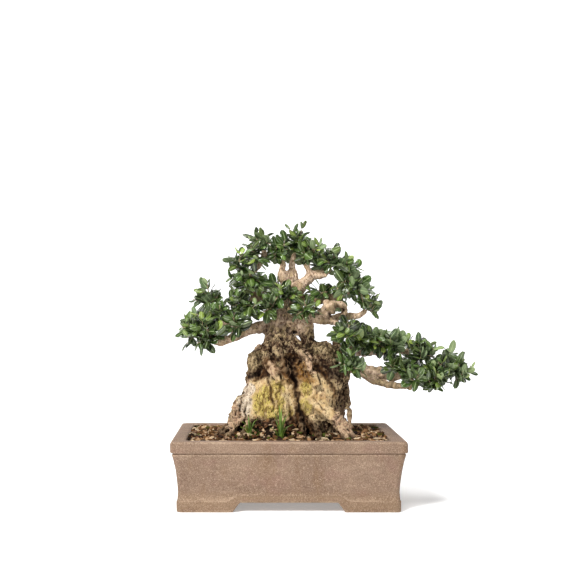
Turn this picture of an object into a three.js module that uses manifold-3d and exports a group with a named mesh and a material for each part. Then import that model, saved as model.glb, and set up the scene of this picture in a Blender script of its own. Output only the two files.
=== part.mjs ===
// Olive bonsai in a rectangular stoneware pot, in millimetres.
// +Z is up, the front faces -Y, and everything is drawn about the pot's centre at table height.
import * as THREE from 'three';
import { mergeVertices } from 'three/addons/utils/BufferGeometryUtils.js';
import Module from 'manifold-3d';

const wasm = await Module();
wasm.setup();

// Pot
const POT_LENGTH = 300;
const POT_DEPTH = 200;
const POT_HEIGHT = 90;
const POT_CORNER = 6;
const RIM_WIDTH = 18.5;
const FLOOR_LEVEL = 18;
const APRON_LEVEL = 12.2;
const FOOT_LENGTH = 71;
const FOOT_DEPTH = 44;
const FOOT_SLOPE = 9;
const FOOT_INSET = 7.6;
const BAND_LOW = 14.7;
const BAND_HIGH = 22.6;
const DRAIN_X = 72;
const DRAIN_RADIUS = 12;
// Fits and foliage
const GAP = 0.35;
const NET_SIZE = 38;
const NET_THICKNESS = 1.4;
const NET_BAR = 2.4;
const TWIG_RADIUS = 1.5;
const BLADE_THICKNESS = 0.8;
const PAIR_SPACING = 11;

// ---------------------------------------------------------------- solids

function solid(geometry) {
  const bare = geometry.clone();
  bare.deleteAttribute('normal');
  bare.deleteAttribute('uv');
  const merged = mergeVertices(bare, 1e-4);
  return new wasm.Manifold(new wasm.Mesh({
    numProp: 3,
    vertProperties: new Float32Array(merged.attributes.position.array),
    triVerts: new Uint32Array(merged.index.array),
  }));
}

const fuse = (solids) => solids.reduce((whole, next) => whole.add(next));

function piece(name, body, color, roughness, metalness = 0) {
  const data = body.getMesh();
  const geometry = new THREE.BufferGeometry();
  geometry.setAttribute('position', new THREE.BufferAttribute(new Float32Array(data.vertProperties), 3));
  geometry.setIndex(new THREE.BufferAttribute(new Uint32Array(data.triVerts), 1));
  geometry.computeVertexNormals();
  const mesh = new THREE.Mesh(geometry, new THREE.MeshStandardMaterial({ color, roughness, metalness }));
  mesh.name = name;
  return mesh;
}

function reshape(geometry, rule) {
  const position = geometry.attributes.position;
  const point = new THREE.Vector3();
  for (let i = 0; i < position.count; i++) {
    rule(point.fromBufferAttribute(position, i));
    position.setXYZ(i, point.x, point.y, point.z);
  }
  return solid(geometry);
}

function box(width, depth, height, x, y, z) {
  return solid(new THREE.BoxGeometry(width, depth, height).translate(x, y, z));
}

// A piecewise linear curve through rows whose first number is the running value.
function along(rows, value, column) {
  const last = rows.length - 1;
  if (value <= rows[0][0]) return rows[0][column];
  for (let i = 0; i < last; i++) {
    const [from, to] = [rows[i], rows[i + 1]];
    if (value <= to[0]) {
      return from[column] + (to[column] - from[column]) * (value - from[0]) / (to[0] - from[0]);
    }
  }
  return rows[last][column];
}

// Frames along a smooth curve, each turned as little as possible from the one before.
function framesAlong(points, rows) {
  const curve = new THREE.CatmullRomCurve3(points, false, 'centripetal');
  const frames = [];
  let side = new THREE.Vector3(0, 1, 0);
  for (let i = 0; i <= rows; i++) {
    const t = i / rows;
    const tangent = curve.getTangent(t);
    if (i === 0 && Math.abs(tangent.y) > 0.9) side = new THREE.Vector3(1, 0, 0);
    side = side.clone().addScaledVector(tangent, -side.dot(tangent)).normalize();
    frames.push({ t, point: curve.getPoint(t), tangent, side, across: side.clone().cross(tangent) });
  }
  return frames;
}

const radiusAt = (path, t) => along(path.map((row, i) => [i / (path.length - 1), row[3]]), t, 1);
const centres = (path) => path.map(([x, y, z]) => new THREE.Vector3(x, y, z));

// A round limb through rows of x, y, z, radius. Lumps swell it unevenly; grow makes the plain
// hole that such a limb stands in.
function limb(path, sides, rows, lump = 0, grow = 0) {
  const frames = framesAlong(centres(path), rows);
  return reshape(new THREE.CylinderGeometry(1, 1, 1, sides, rows), (p) => {
    const row = Math.round((p.y + 0.5) * rows);
    const frame = frames[row];
    const angle = Math.atan2(p.x, p.z);
    const swell = Math.sin(2 * angle + 2.1 * row) * 0.6 + Math.sin(3 * angle - 1.3 * row + 1) * 0.4;
    const radius = radiusAt(path, frame.t) * (1 + lump * swell) + grow;
    const reach = row === 0 ? -grow : row === rows ? grow : 0;
    const [x, z] = [p.x * radius, p.z * radius];
    p.copy(frame.point).addScaledVector(frame.tangent, reach)
      .addScaledVector(frame.side, x).addScaledVector(frame.across, z);
  });
}

// A knobbly swelling of old wood.
function burl(x, y, z, rx, ry, rz) {
  return reshape(new THREE.SphereGeometry(1, 7, 5), (p) => {
    const bump = 1 + 0.1 * Math.sin(4.3 * p.x + 2 * p.z + x) + 0.07 * Math.sin(5.1 * p.y - 3 * p.z + z);
    p.set(x + p.x * rx * bump, y + p.y * ry * bump, z + p.z * rz * bump);
  });
}

// ---------------------------------------------------------------- pot

function roundedRectangle(halfX, halfY, radius) {
  const shape = new THREE.Shape();
  const corners = [[1, 1, 0], [-1, 1, 1], [-1, -1, 2], [1, -1, 3]];
  for (const [sx, sy, quarter] of corners) {
    for (let i = 0; i <= 3; i++) {
      const angle = (quarter + i / 3) * Math.PI / 2;
      const x = sx * (halfX - radius) + radius * Math.cos(angle);
      const y = sy * (halfY - radius) + radius * Math.sin(angle);
      if (quarter === 0 && i === 0) shape.moveTo(x, y);
      else shape.lineTo(x, y);
    }
  }
  shape.closePath();
  return shape;
}

// A rounded rectangular block whose wall steps in or out with height, by rows of height, offset.
function block(halfX, halfY, radius, profile) {
  const steps = profile.length - 1;
  const shape = roundedRectangle(halfX, halfY, radius);
  const extruded = new THREE.ExtrudeGeometry(shape, { depth: steps, steps, bevelEnabled: false });
  return reshape(extruded, (p) => {
    const [height, offset] = profile[Math.round(p.z)];
    p.set(p.x * (1 + offset / halfX), p.y * (1 + offset / halfY), height);
  });
}

// A prism of the given outline in X and Z that runs right through along Y, or turned, along X.
function through(outline, turned) {
  const shape = new THREE.Shape(outline.map(([x, z]) => new THREE.Vector2(x, z)));
  const prism = new THREE.ExtrudeGeometry(shape, { depth: 400, bevelEnabled: false });
  prism.translate(0, 0, -200).rotateX(Math.PI / 2);
  if (turned) prism.rotateZ(Math.PI / 2);
  return solid(prism);
}

const footGap = (halfSpan) => [
  [-halfSpan, -1], [halfSpan, -1], [halfSpan, 0], [halfSpan - FOOT_SLOPE, APRON_LEVEL],
  [FOOT_SLOPE - halfSpan, APRON_LEVEL], [-halfSpan, 0],
];

// The raised part of the foot moulding, with an S-shaped step at either end.
const risenBand = (halfSpan) => [
  [-halfSpan - 16, 5], [halfSpan + 16, 5], [halfSpan + 16, BAND_LOW], [halfSpan + 11, BAND_LOW + 0.9],
  [halfSpan + 5, (BAND_LOW + BAND_HIGH) / 2], [halfSpan - 1, BAND_HIGH - 0.9], [halfSpan - 6, BAND_HIGH],
  [6 - halfSpan, BAND_HIGH], [1 - halfSpan, BAND_HIGH - 0.9], [-halfSpan - 5, (BAND_LOW + BAND_HIGH) / 2],
  [-halfSpan - 11, BAND_LOW + 0.9], [-halfSpan - 16, BAND_LOW],
];

function makePot() {
  const [halfX, halfY] = [POT_LENGTH / 2, POT_DEPTH / 2];
  const wall = block(halfX, halfY, POT_CORNER, [
    [0, -8.2], [22, -9], [34, -8.6], [52, -6.5], [73.5, -2.1], [75, -2.6],
    [75.2, -0.6], [77, 0.2], [86, 0.2], [89.4, -1.1], [POT_HEIGHT, -2.6],
  ]);
  const lowRows = [[0, -7.8], [1, -7.4], [BAND_LOW - 0.8, -7.4], [BAND_LOW, -8.2]];
  const lowBand = block(halfX, halfY, POT_CORNER, lowRows);
  const highBand = block(halfX, halfY, POT_CORNER, [[4, -7.4], [BAND_HIGH - 0.8, -7.4], [BAND_HIGH, -8.4]]);
  const [spanX, spanY] = [halfX - FOOT_INSET - FOOT_LENGTH, halfY - FOOT_INSET - FOOT_DEPTH];
  const frontRise = highBand.intersect(through(risenBand(spanX), false));
  const sideRise = highBand.intersect(through(risenBand(spanY), true));
  const drains = [-1, 1].map((side) => solid(
    new THREE.CylinderGeometry(DRAIN_RADIUS, DRAIN_RADIUS, 30, 16).rotateX(Math.PI / 2)
      .translate(side * DRAIN_X, 0, FLOOR_LEVEL - 8)));
  let pot = fuse([wall, lowBand, frontRise, sideRise]);
  pot = pot.subtract(cavity(0));
  pot = pot.subtract(through(footGap(spanX), false)).subtract(through(footGap(spanY), true));
  for (const drain of drains) pot = pot.subtract(drain);
  return piece('pot', pot, 0xa58c76, 0.85);
}

// The inside of the pot, or the same form drawn in by a clearance for what fills it.
function cavity(clearance) {
  const [halfX, halfY] = [POT_LENGTH / 2 - RIM_WIDTH, POT_DEPTH / 2 - RIM_WIDTH];
  return block(halfX, halfY, 5, [
    [FLOOR_LEVEL + clearance, -4 - clearance], [FLOOR_LEVEL + 3, -2.5 - clearance],
    [84, -clearance], [POT_HEIGHT + 1, 0.6 - clearance],
    [POT_HEIGHT + 40, 0.6 - clearance],
  ]);
}

// Net squares of plastic that lie over the drainage holes, under the soil.
function makeNet(name, x) {
  const z = FLOOR_LEVEL + 0.3 + NET_THICKNESS / 2;
  const hole = (NET_SIZE - 4 * NET_BAR) / 3;
  const places = [-1, 0, 1].map((place) => place * (hole + NET_BAR));
  const holes = places.flatMap((dx) => places.map((dy) => box(hole, hole, 9, x + dx, dy, z)));
  return piece(name, box(NET_SIZE, NET_SIZE, NET_THICKNESS, x, 0, z).subtract(fuse(holes)), 0x2c2f2e, 0.6);
}

// ---------------------------------------------------------------- trunk

// Half widths of the stump with height: height, centre x, centre y, half width, half depth.
const STUMP = [
  [52, 1, 2, 70, 44], [84, 1, 1, 78, 49], [104, 1, 0, 75, 47], [124, 4, 0, 74, 44],
  [144, 12, 0, 72, 40], [162, 17, 1, 67, 37], [180, 17, 2, 61, 33], [197, 14, 3, 51, 28],
  [212, 10, 4, 28, 16],
];
const ROOTS = [
  [[-42, -10, 152, 10], [-62, -22, 130, 9], [-73, -28, 106, 8], [-78, -32, 84, 6.5], [-81, -34, 68, 5]],
  [[-62, -26, 118, 5], [-78, -37, 102, 4], [-93, -42, 92, 3.2], [-106, -44, 80, 2.4]],
  [[-40, -24, 122, 7], [-52, -44, 103, 5], [-62, -55, 88, 4], [-66, -60, 74, 3]],
  [[26, -18, 146, 10], [43, -36, 127, 10], [60, -44, 114, 10], [75, -48, 101, 8.5], [86, -50, 84, 7],
    [92, -51, 70, 5]],
  [[58, -36, 116, 6], [71, -55, 98, 5], [80, -63, 86, 4], [86, -67, 74, 3]],
  [[76, -8, 158, 6], [81, -14, 138, 5], [83, -17, 118, 3], [85, -20, 98, 2.8], [88, -22, 74, 2.8]],
  [[14, -22, 132, 4.5], [17, -41, 112, 4], [20, -50, 96, 4], [22, -56, 78, 3]],
  [[-34, 28, 140, 10], [-51, 48, 109, 8], [-64, 60, 88, 6], [-70, 64, 70, 4]],
  [[44, 28, 138, 10], [58, 49, 109, 8], [66, 60, 90, 6], [72, 66, 70, 4]],
  [[6, 30, 136, 9], [4, 52, 106, 7], [0, 64, 86, 5], [-2, 70, 72, 3.5]],
];
const BURLS = [
  [-37, -4, 184, 17, 20, 18], [-42, 2, 160, 14, 23, 18], [-14, -22, 184, 20, 12, 18],
  [49, 0, 200, 19, 19, 13], [68, 0, 188, 17, 19, 17], [72, -12, 168, 15, 17, 16],
  [44, -20, 188, 15, 12, 13], [-14, 24, 174, 24, 15, 26], [34, 24, 180, 22, 13, 20],
];
const LIMBS = {
  neck: [[-4, 4, 164, 40], [-8, 2, 184, 35], [-9, 0, 203, 26], [-9, 0, 222, 19], [-9, -1, 240, 16.5],
    [-7, -2, 254, 14]],
  arm: [[-3, -3, 243, 12], [14, -7, 238, 12], [25, -6, 227, 11], [28, -3, 212, 10], [35, 0, 198, 11]],
  strand: [[0, -6, 226, 7], [11, -18, 208, 7], [24, -27, 190, 7.5], [36, -26, 170, 8], [42, -16, 152, 8]],
  lowLeft: [[-14, 2, 240, 11], [-31, 2, 233, 9], [-47, -2, 230, 7.5], [-66, -6, 222, 6.4],
    [-83, -10, 214, 5.2], [-95, -12, 212, 4.4], [-107, -15, 219, 3.4], [-118, -16, 226, 2.8]],
  lowLeftUp: [[-84, -10, 214, 4.2], [-91, -4, 231, 3.4], [-98, 2, 246, 2.9], [-102, 4, 262, 2.4]],
  lowLeftBack: [[-60, -4, 223, 5], [-78, 16, 233, 4], [-90, 34, 238, 3], [-98, 46, 241, 2.6]],
  left: [[-9, 3, 251, 12], [-25, 4, 265, 8.5], [-39, 3, 279, 7], [-47, 1, 295, 6], [-44, 0, 310, 5.2],
    [-34, 0, 322, 4.6], [-30, 0, 332, 4], [-34, 1, 341, 3.2]],
  leftSide: [[-32, 3, 272, 5.5], [-48, -10, 271, 4.2], [-61, -18, 265, 3.2]],
  leftTop: [[-47, 1, 298, 4.6], [-57, -3, 304, 3.6], [-63, -6, 312, 2.8]],
  leader: [[-7, -1, 250, 15], [3, -1, 264, 11.5], [11, -2, 276, 10], [18, -2, 287, 8.8], [26, -3, 295, 7.8],
    [35, -4, 302, 6.6], [46, -5, 305, 5.2], [55, -6, 309, 4], [59, -6, 316, 3]],
  leaderStub: [[42, -5, 303, 5.4], [55, -8, 304, 4.6]],
  leaderArm: [[24, -3, 293, 7], [30, -6, 305, 5], [27, -7, 316, 4], [30, -6, 326, 3]],
  leaderLeft: [[12, -1, 280, 9], [3, 3, 288, 8], [-5, 4, 299, 6.2], [-6, 4, 311, 5], [-4, 3, 321, 4],
    [-8, 2, 331, 3]],
  leaderMid: [[4, 3, 287, 8], [8, 5, 299, 6.4], [8, 6, 311, 5.6], [8, 6, 323, 4.6], [12, 5, 334, 3.2]],
  right: [[2, 3, 259, 10], [18, 6, 268, 8], [37, 6, 271, 7], [55, 4, 272, 6.4], [69, 1, 275, 5.4],
    [73, -2, 288, 4.2], [73, -3, 299, 3.4], [77, -4, 308, 2.8]],
  rightOut: [[66, 2, 274, 5], [80, -5, 279, 3.6], [92, -9, 281, 2.8]],
  rightLow: [[-2, -6, 251, 11], [15, -11, 251, 8], [30, -15, 247, 6.8], [44, -16, 243, 6],
    [58, -12, 242, 5.4], [73, -8, 247, 4.8], [86, -4, 247, 4.2], [98, -2, 248, 3.8], [108, -2, 255, 3]],
  rightLowGnarl: [[48, -15, 245, 6], [54, -20, 257, 5], [65, -21, 264, 5], [76, -17, 261, 4.6],
    [78, -10, 250, 4.4]],
  rightLowDown: [[62, -12, 242, 4.4], [71, -20, 234, 3.3], [76, -25, 226, 2.6]],
  long: [[58, 3, 191, 16], [80, -2, 188, 12], [96, -6, 178, 10], [112, -6, 171, 9], [128, -3, 170, 7.6],
    [148, 2, 167, 6.4], [170, 4, 170, 5.2], [194, 4, 171, 4.2], [213, 2, 169, 3.2], [227, 0, 167, 2.6]],
  longLow: [[92, -8, 177, 6.5], [114, -16, 163, 5], [135, -20, 156, 4.6], [157, -21, 154, 4.2],
    [177, -19, 157, 3.6], [194, -16, 161, 2.8]],
  longUp: [[68, 8, 198, 11], [93, 12, 204, 8], [112, 13, 204, 6.4], [131, 11, 201, 5.2],
    [153, 10, 200, 4.2], [178, 8, 196, 3]],
  longFront: [[74, -10, 190, 8], [81, -27, 185, 4.4], [84, -42, 181, 2.9]],
  backLeft: [[-4, 6, 244, 11], [-8, 28, 258, 7.5], [-16, 52, 272, 5], [-21, 68, 280, 3.2]],
  backRight: [[4, 6, 232, 11], [27, 30, 240, 7.5], [50, 50, 252, 5], [62, 64, 262, 3.2]],
  backLow: [[78, 12, 195, 9], [108, 36, 198, 6], [136, 54, 195, 4], [148, 62, 197, 3]],
};
const stumpRow = (z, column) => along(STUMP, z, column);

// The stump's body: an uneven oval that stands on flared root ridges.
function stumpBody(grow) {
  const [low, high] = [STUMP[0][0], STUMP[STUMP.length - 1][0]];
  const levels = STUMP.map((row) => row[0]);
  const rows = levels.length - 1;
  return reshape(new THREE.CylinderGeometry(1, 1, 1, 22, rows), (p) => {
    const row = Math.round((p.y + 0.5) * rows);
    const [height, radius] = [levels[row], Math.hypot(p.x, p.z)];
    const angle = Math.atan2(-p.z, p.x);
    const ridge = 1 + 0.03 * Math.sin(7 * angle + 0.8) + 0.025 * Math.sin(4 * angle + height / 17);
    const x = stumpRow(height, 1) + Math.cos(angle) * radius * (stumpRow(height, 3) * ridge + grow);
    const split = 12 + (150 - height) * 0.12;
    const lobes = angle < 0 ? 0.8 + 0.3 * Math.abs(Math.sin((x - split) / 26)) : 1;
    const y = stumpRow(height, 2) + Math.sin(angle) * radius * (stumpRow(height, 4) * ridge * lobes + grow);
    p.set(x, y, height + (height === low ? -grow : height === high ? grow : 0));
  });
}

// Everything of the tree that reaches into the soil, drawn larger by the clearance.
function rootPlate(grow) {
  return fuse([stumpBody(grow), ...ROOTS.map((path) => limb(path, 6, path.length - 1, 0.08, grow))]);
}

// Rotted folds in the stump: the long split down the face, the hollow above it and a way through.
function stumpHollows() {
  return fuse([
    limb([[4, -38, 192, 5], [9, -37, 176, 7], [12, -37, 160, 6], [14, -38, 144, 5], [16, -41, 126, 4.5],
      [20, -47, 106, 4]], 6, 5),
    limb([[-26, -42, 168, 4], [-31, -45, 148, 5], [-28, -48, 126, 3]], 5, 2),
    limb([[8, -56, 191, 9], [13, -34, 190, 10], [16, -14, 189, 8], [18, 2, 188, 4]], 7, 3),
    limb([[17, -20, 188, 3.4], [19, 60, 184, 3.4]], 7, 1),
  ]);
}

const WINDOW = [[11, -40, 221, 7.5], [13, 40, 216, 7.5]];

function makeTrunk() {
  const names = Object.keys(LIMBS);
  let wood = fuse([stumpBody(0), ...BURLS.map((lump) => burl(...lump))]).subtract(stumpHollows());
  wood = fuse([wood, limb(LIMBS.neck, 10, 6, 0.1)]).subtract(limb(WINDOW, 8, 2));
  wood = fuse([wood, ...ROOTS.map((path) => limb(path, 6, path.length - 1, 0.08))]);
  for (const name of names.slice(1)) {
    const path = LIMBS[name];
    wood = wood.add(limb(path, path[0][3] > 8 ? 6 : 4, path.length - 1, 0.09));
  }
  const spurs = SPRAYS.filter((spray) => spray[2] < 1);
  return fuse([wood, ...spurs.map((spray) => limb(spurPath(spray), 3, 1))]);
}

// ---------------------------------------------------------------- sprays of leaves

// Each spray: name, the limb and how far along it, then shoots. The first shoot leaves the limb;
// the rest leave the first, by a fraction of its length. A shoot is direction x, y, z and length.
const SPRAYS = [
  ['lower_left_tip', 'lowLeft', 1, [-0.9, -0.17, 0.12, 24], [0.3, -0.6, -0.51, -0.9, 26],
    [0.5, -0.67, 0.36, 0.9, 19]],
  ['lower_left_under', 'lowLeft', 0.8, [-0.71, -0.9, -0.23, 20], [0.3, 0.87, -0.9, 0.31, 13]],
  ['lower_left_top', 'lowLeftUp', 1, [-0.22, -0.1, 0.9, 27], [0.2, -0.9, -0.08, 0.12, 26]],
  ['lower_left_mid', 'lowLeftUp', 0.45, [-0.9, -0.81, 0.28, 30], [0.3, -0.7, -0.9, -0.55, 33]],
  ['lower_left_inner', 'lowLeftUp', 0.6, [0.35, -0.9, 0.43, 22]],
  ['lower_left_fore', 'lowLeft', 0.66, [-0.69, -0.9, 0.64, 23], [0.3, 0.5, -0.74, 0.9, 19]],
  ['lower_left_back', 'lowLeftBack', 1, [-0.9, 0.17, 0.16, 36], [0.3, -0.31, 0.58, 0.9, 24]],
  ['lower_left_behind', 'lowLeftBack', 0.6, [-0.07, 0.71, 0.9, 23]],
  ['left_side', 'leftSide', 1, [-0.73, -0.9, -0.35, 20], [0.3, -0.26, -0.9, 0.73, 14]],
  ['left_fore', 'leftSide', 0.5, [0.04, -0.9, -0.7, 21], [0.3, -0.55, -0.37, -0.9, 23]],
  ['left_low', 'lowLeft', 0.42, [-0.31, -0.83, 0.9, 20], [0.3, 0.9, -0.73, 0.17, 15]],
  ['left_back', 'left', 0.3, [-0.53, 0.9, 0.17, 25]],
  ['upper_left_end', 'leftTop', 1, [0.08, -0.19, 0.9, 18], [0.3, 0.26, -0.9, -0.61, 11]],
  ['upper_left_under', 'leftTop', 0.55, [-0.36, -0.9, -0.55, 13], [0.3, 0.79, -0.81, -0.9, 17]],
  ['upper_left_top', 'left', 1, [-0.67, -0.32, 0.9, 14]],
  ['upper_left_back', 'left', 0.6, [-0.54, 0.9, 0.33, 20]],
  ['upper_left_fore', 'left', 0.84, [-0.9, -0.8, 0.17, 22]],
  ['upper_left_mid', 'left', 0.43, [-0.12, -0.9, 0.24, 20], [0.3, 0.9, -0.77, -0.5, 18]],
  ['crown_left', 'leaderLeft', 1, [-0.9, -0.8, 0.75, 20], [0.3, 0.37, -0.9, 0.55, 17]],
  ['crown_left_back', 'leaderLeft', 0.78, [-0.39, 0.9, 0.55, 28]],
  ['crown_top', 'leaderMid', 1, [0.47, -0.07, 0.9, 14], [0.3, -0.73, -0.8, 0.9, 15]],
  ['crown_back', 'leaderMid', 0.75, [0.24, 0.9, 0.41, 31]],
  ['crown_fore', 'leaderArm', 1, [0.39, -0.9, 0.78, 20], [0.3, -0.78, -0.9, 0.26, 16]],
  ['crown_right', 'leader', 1, [0.19, -0.37, 0.9, 19], [0.3, -0.9, -0.74, 0.9, 14]],
  ['crown_right_mid', 'leader', 0.72, [0.48, 0.9, 0.65, 23]],
  ['upper_right_end', 'right', 1, [0.41, -0.51, 0.9, 15], [0.3, -0.9, -0.79, 0.49, 14]],
  ['upper_right_fore', 'right', 0.84, [0.59, -0.9, -0.3, 16], [0.3, 0.04, -0.54, -0.9, 18]],
  ['right_out_end', 'rightOut', 1, [0.9, -0.47, 0.27, 16], [0.3, 0.9, -0.77, -0.79, 17]],
  ['right_out_back', 'rightOut', 0.5, [0.34, 0.9, 0.25, 27]],
  ['right_end', 'rightLow', 1, [0.68, -0.16, 0.9, 17], [0.3, 0.87, -0.9, -0.49, 11]],
  ['middle_left', 'neck', 0.93, [-0.53, -0.9, 0.5, 17], [0.3, -0.9, -0.63, -0.55, 19]],
  ['middle_right', 'rightLow', 0.16, [0.2, -0.9, 0.41, 14], [0.3, -0.9, -0.78, -0.74, 16]],
  ['middle_top', 'leader', 0.14, [-0.45, -0.9, 0.65, 16], [0.3, 0.63, -0.9, -0.23, 16]],
  ['middle_small', 'right', 0.42, [-0.9, -0.7, 0.61, 7]],
  ['right_under', 'rightLowDown', 1, [-0.71, -0.9, 0.17, 18], [0.4, 0.33, -0.9, -0.41, 12]],
  ['long_fore', 'longFront', 1, [-0.9, -0.51, 0.27, 26], [0.3, 0.9, -0.26, -0.09, 16]],
  ['long_top_near', 'longUp', 0.24, [-0.05, -0.49, 0.9, 18], [0.3, 0.83, -0.9, 0.42, 17]],
  ['long_top_mid', 'longUp', 0.46, [0.37, -0.56, 0.9, 11], [0.3, -0.52, -0.9, 0, 20]],
  ['long_top_far', 'longUp', 0.72, [0.34, -0.44, 0.9, 11], [0.3, -0.37, -0.9, -0.22, 21]],
  ['long_top_end', 'longUp', 1, [0.9, -0.17, 0.33, 25], [0.25, -0.09, -0.6, 0.9, 17],
    [0.4, 0.9, -0.77, -0.29, 23]],
  ['long_mid_fore', 'long', 0.58, [0.01, -0.9, 0.61, 24], [0.3, -0.9, -0.87, 0.26, 21]],
  ['long_mid_back', 'long', 0.7, [0.3, 0.9, 0.46, 28]],
  ['long_far_fore', 'long', 0.82, [0.28, -0.9, 0.52, 20], [0.3, -0.68, -0.9, 0.08, 20]],
  ['long_far_back', 'long', 0.86, [0.79, 0.69, 0.9, 23]],
  ['long_tip', 'long', 1, [0.9, -0.02, 0.17, 24], [0.2, 0.41, -0.08, 0.9, 19],
    [0.25, 0.9, -0.83, -0.36, 11]],
  ['long_low_end', 'longLow', 1, [0.86, -0.9, 0.49, 15], [0.4, -0.42, -0.9, -0.79, 14]],
  ['long_low_mid', 'longLow', 0.7, [0.28, -0.9, 0.66, 17]],
  ['back_left_end', 'backLeft', 1, [-0.74, 0.61, 0.9, 23]],
  ['back_right_end', 'backRight', 1, [0.9, 0.52, 0.04, 23]],
  ['back_low_end', 'backLow', 1, [0.9, 0.27, 0.17, 25], [0.3, 0.18, 0.66, 0.9, 15]],
  ['back_low_mid', 'backLow', 0.55, [0.38, 0.77, 0.9, 19]],
];

function limbPoint(name, t) {
  const path = LIMBS[name];
  const curve = new THREE.CatmullRomCurve3(centres(path), false, 'centripetal');
  return { point: curve.getPoint(t), tangent: curve.getTangent(t), radius: radiusAt(path, t) };
}

const heading = ([x, y, z]) => new THREE.Vector3(x, y, z).normalize();

// A short spur on the side of a limb, from inside it to the point where the spray takes over.
function spurPath([, name, t, first]) {
  const { point, tangent, radius } = limbPoint(name, t);
  const direction = heading(first);
  const slant = direction.dot(tangent);
  const exit = radius * 1.1 / Math.sqrt(Math.max(1 - slant * slant, 0.2)) + 3.7;
  const ends = [radius * 0.3, exit].map((reach) => point.clone().addScaledVector(direction, reach));
  return ends.map((p, i) => [p.x, p.y, p.z, TWIG_RADIUS + 0.5 - 0.3 * i]);
}

// Where a spray starts and which way it faces there: on a spur, or on the limb's own end.
function socket(spray) {
  const [, name, t, first] = spray;
  if (t === 1) return limbPoint(name, t);
  const [x, y, z] = spurPath(spray)[1];
  return { point: new THREE.Vector3(x, y, z), tangent: heading(first) };
}

// A twig sets out along its socket, turns to its own heading and bends up towards the light.
function twigPath(start, tangent, [x, y, z, length]) {
  const direction = heading([x, y, z]);
  const turn = tangent.clone().sub(direction);
  return [0, 0.15, 0.55, 1].map((s) => {
    const p = start.clone().addScaledVector(direction, length * s)
      .addScaledVector(turn, length * Math.min(s, 0.15));
    return [p.x, p.y, p.z + 0.1 * length * s * s, TWIG_RADIUS - 0.55 * s];
  });
}

function twigPaths(spray) {
  const [, , , first, ...others] = spray;
  const { point, tangent } = socket(spray);
  const main = twigPath(point.clone().addScaledVector(tangent, GAP), tangent, first);
  const curve = new THREE.CatmullRomCurve3(centres(main), false, 'centripetal');
  const sides = others.map(([t, ...shoot]) => twigPath(curve.getPoint(t), heading(shoot), shoot));
  return [main, ...sides];
}

// Repeatable random numbers between 0 and 1.
function randomFrom(seed) {
  let state = seed;
  return () => {
    state = (state + 0x6d2b79f5) | 0;
    let mixed = Math.imul(state ^ (state >>> 15), 1 | state);
    mixed = (mixed + Math.imul(mixed ^ (mixed >>> 7), 61 | mixed)) ^ mixed;
    return ((mixed ^ (mixed >>> 14)) >>> 0) / 4294967296;
  };
}

// Points that stand for wood and leaves already in place, so that nothing grows through them.
const taken = [];

function take(points, radius, owner) {
  for (const point of points) taken.push({ point, radius, owner });
}

function isClear(points, owner) {
  for (const point of points) {
    const rise = stumpRow(point.z, 3) + 4;
    const x = (point.x - stumpRow(point.z, 1)) / rise;
    const y = (point.y - stumpRow(point.z, 2)) / (stumpRow(point.z, 4) + 4);
    if (point.z < 218 && x * x + y * y < 1) return false;
    if (point.z < 108) return false;
    for (const other of taken) {
      const room = other.owner === owner ? other.radius * 0.55 + 1.1 : other.radius + 2.1;
      if (other.point.distanceToSquared(point) < room * room) return false;
    }
  }
  return true;
}

function takeLimb(path, owner) {
  const curve = new THREE.CatmullRomCurve3(centres(path), false, 'centripetal');
  const count = Math.ceil(curve.getLength() / 2);
  for (let i = 0; i <= count; i++) {
    take([curve.getPoint(i / count)], radiusAt(path, i / count) * 1.12 + 0.3, owner);
  }
}

// A flat pointed blade, from the middle of the twig outwards.
function blade(base, direction, face, length, halfWidth) {
  const outline = [[0, 0], [0.5, 1], [1, 0], [0.5, -1]];
  const shape = new THREE.Shape(outline.map(([u, v]) => new THREE.Vector2(u * length, v * halfWidth)));
  const flat = new THREE.ExtrudeGeometry(shape, { depth: BLADE_THICKNESS, bevelEnabled: false });
  const across = face.clone().cross(direction);
  return reshape(flat, (p) => {
    const [u, v, w] = [p.x, p.y, p.z - BLADE_THICKNESS / 2];
    p.copy(base).addScaledVector(direction, u).addScaledVector(across, v).addScaledVector(face, w);
  });
}

function bladePoints(base, direction, face, length, halfWidth, from) {
  const across = face.clone().cross(direction);
  const points = [];
  for (const u of [0.15, 0.35, 0.55, 0.75, 0.95]) {
    if (u < from) continue;
    for (const v of u > 0.9 || u < 0.2 ? [0] : [-0.7, 0, 0.7]) {
      points.push(base.clone().addScaledVector(direction, u * length).addScaledVector(across, v * halfWidth));
    }
  }
  return points;
}

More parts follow.
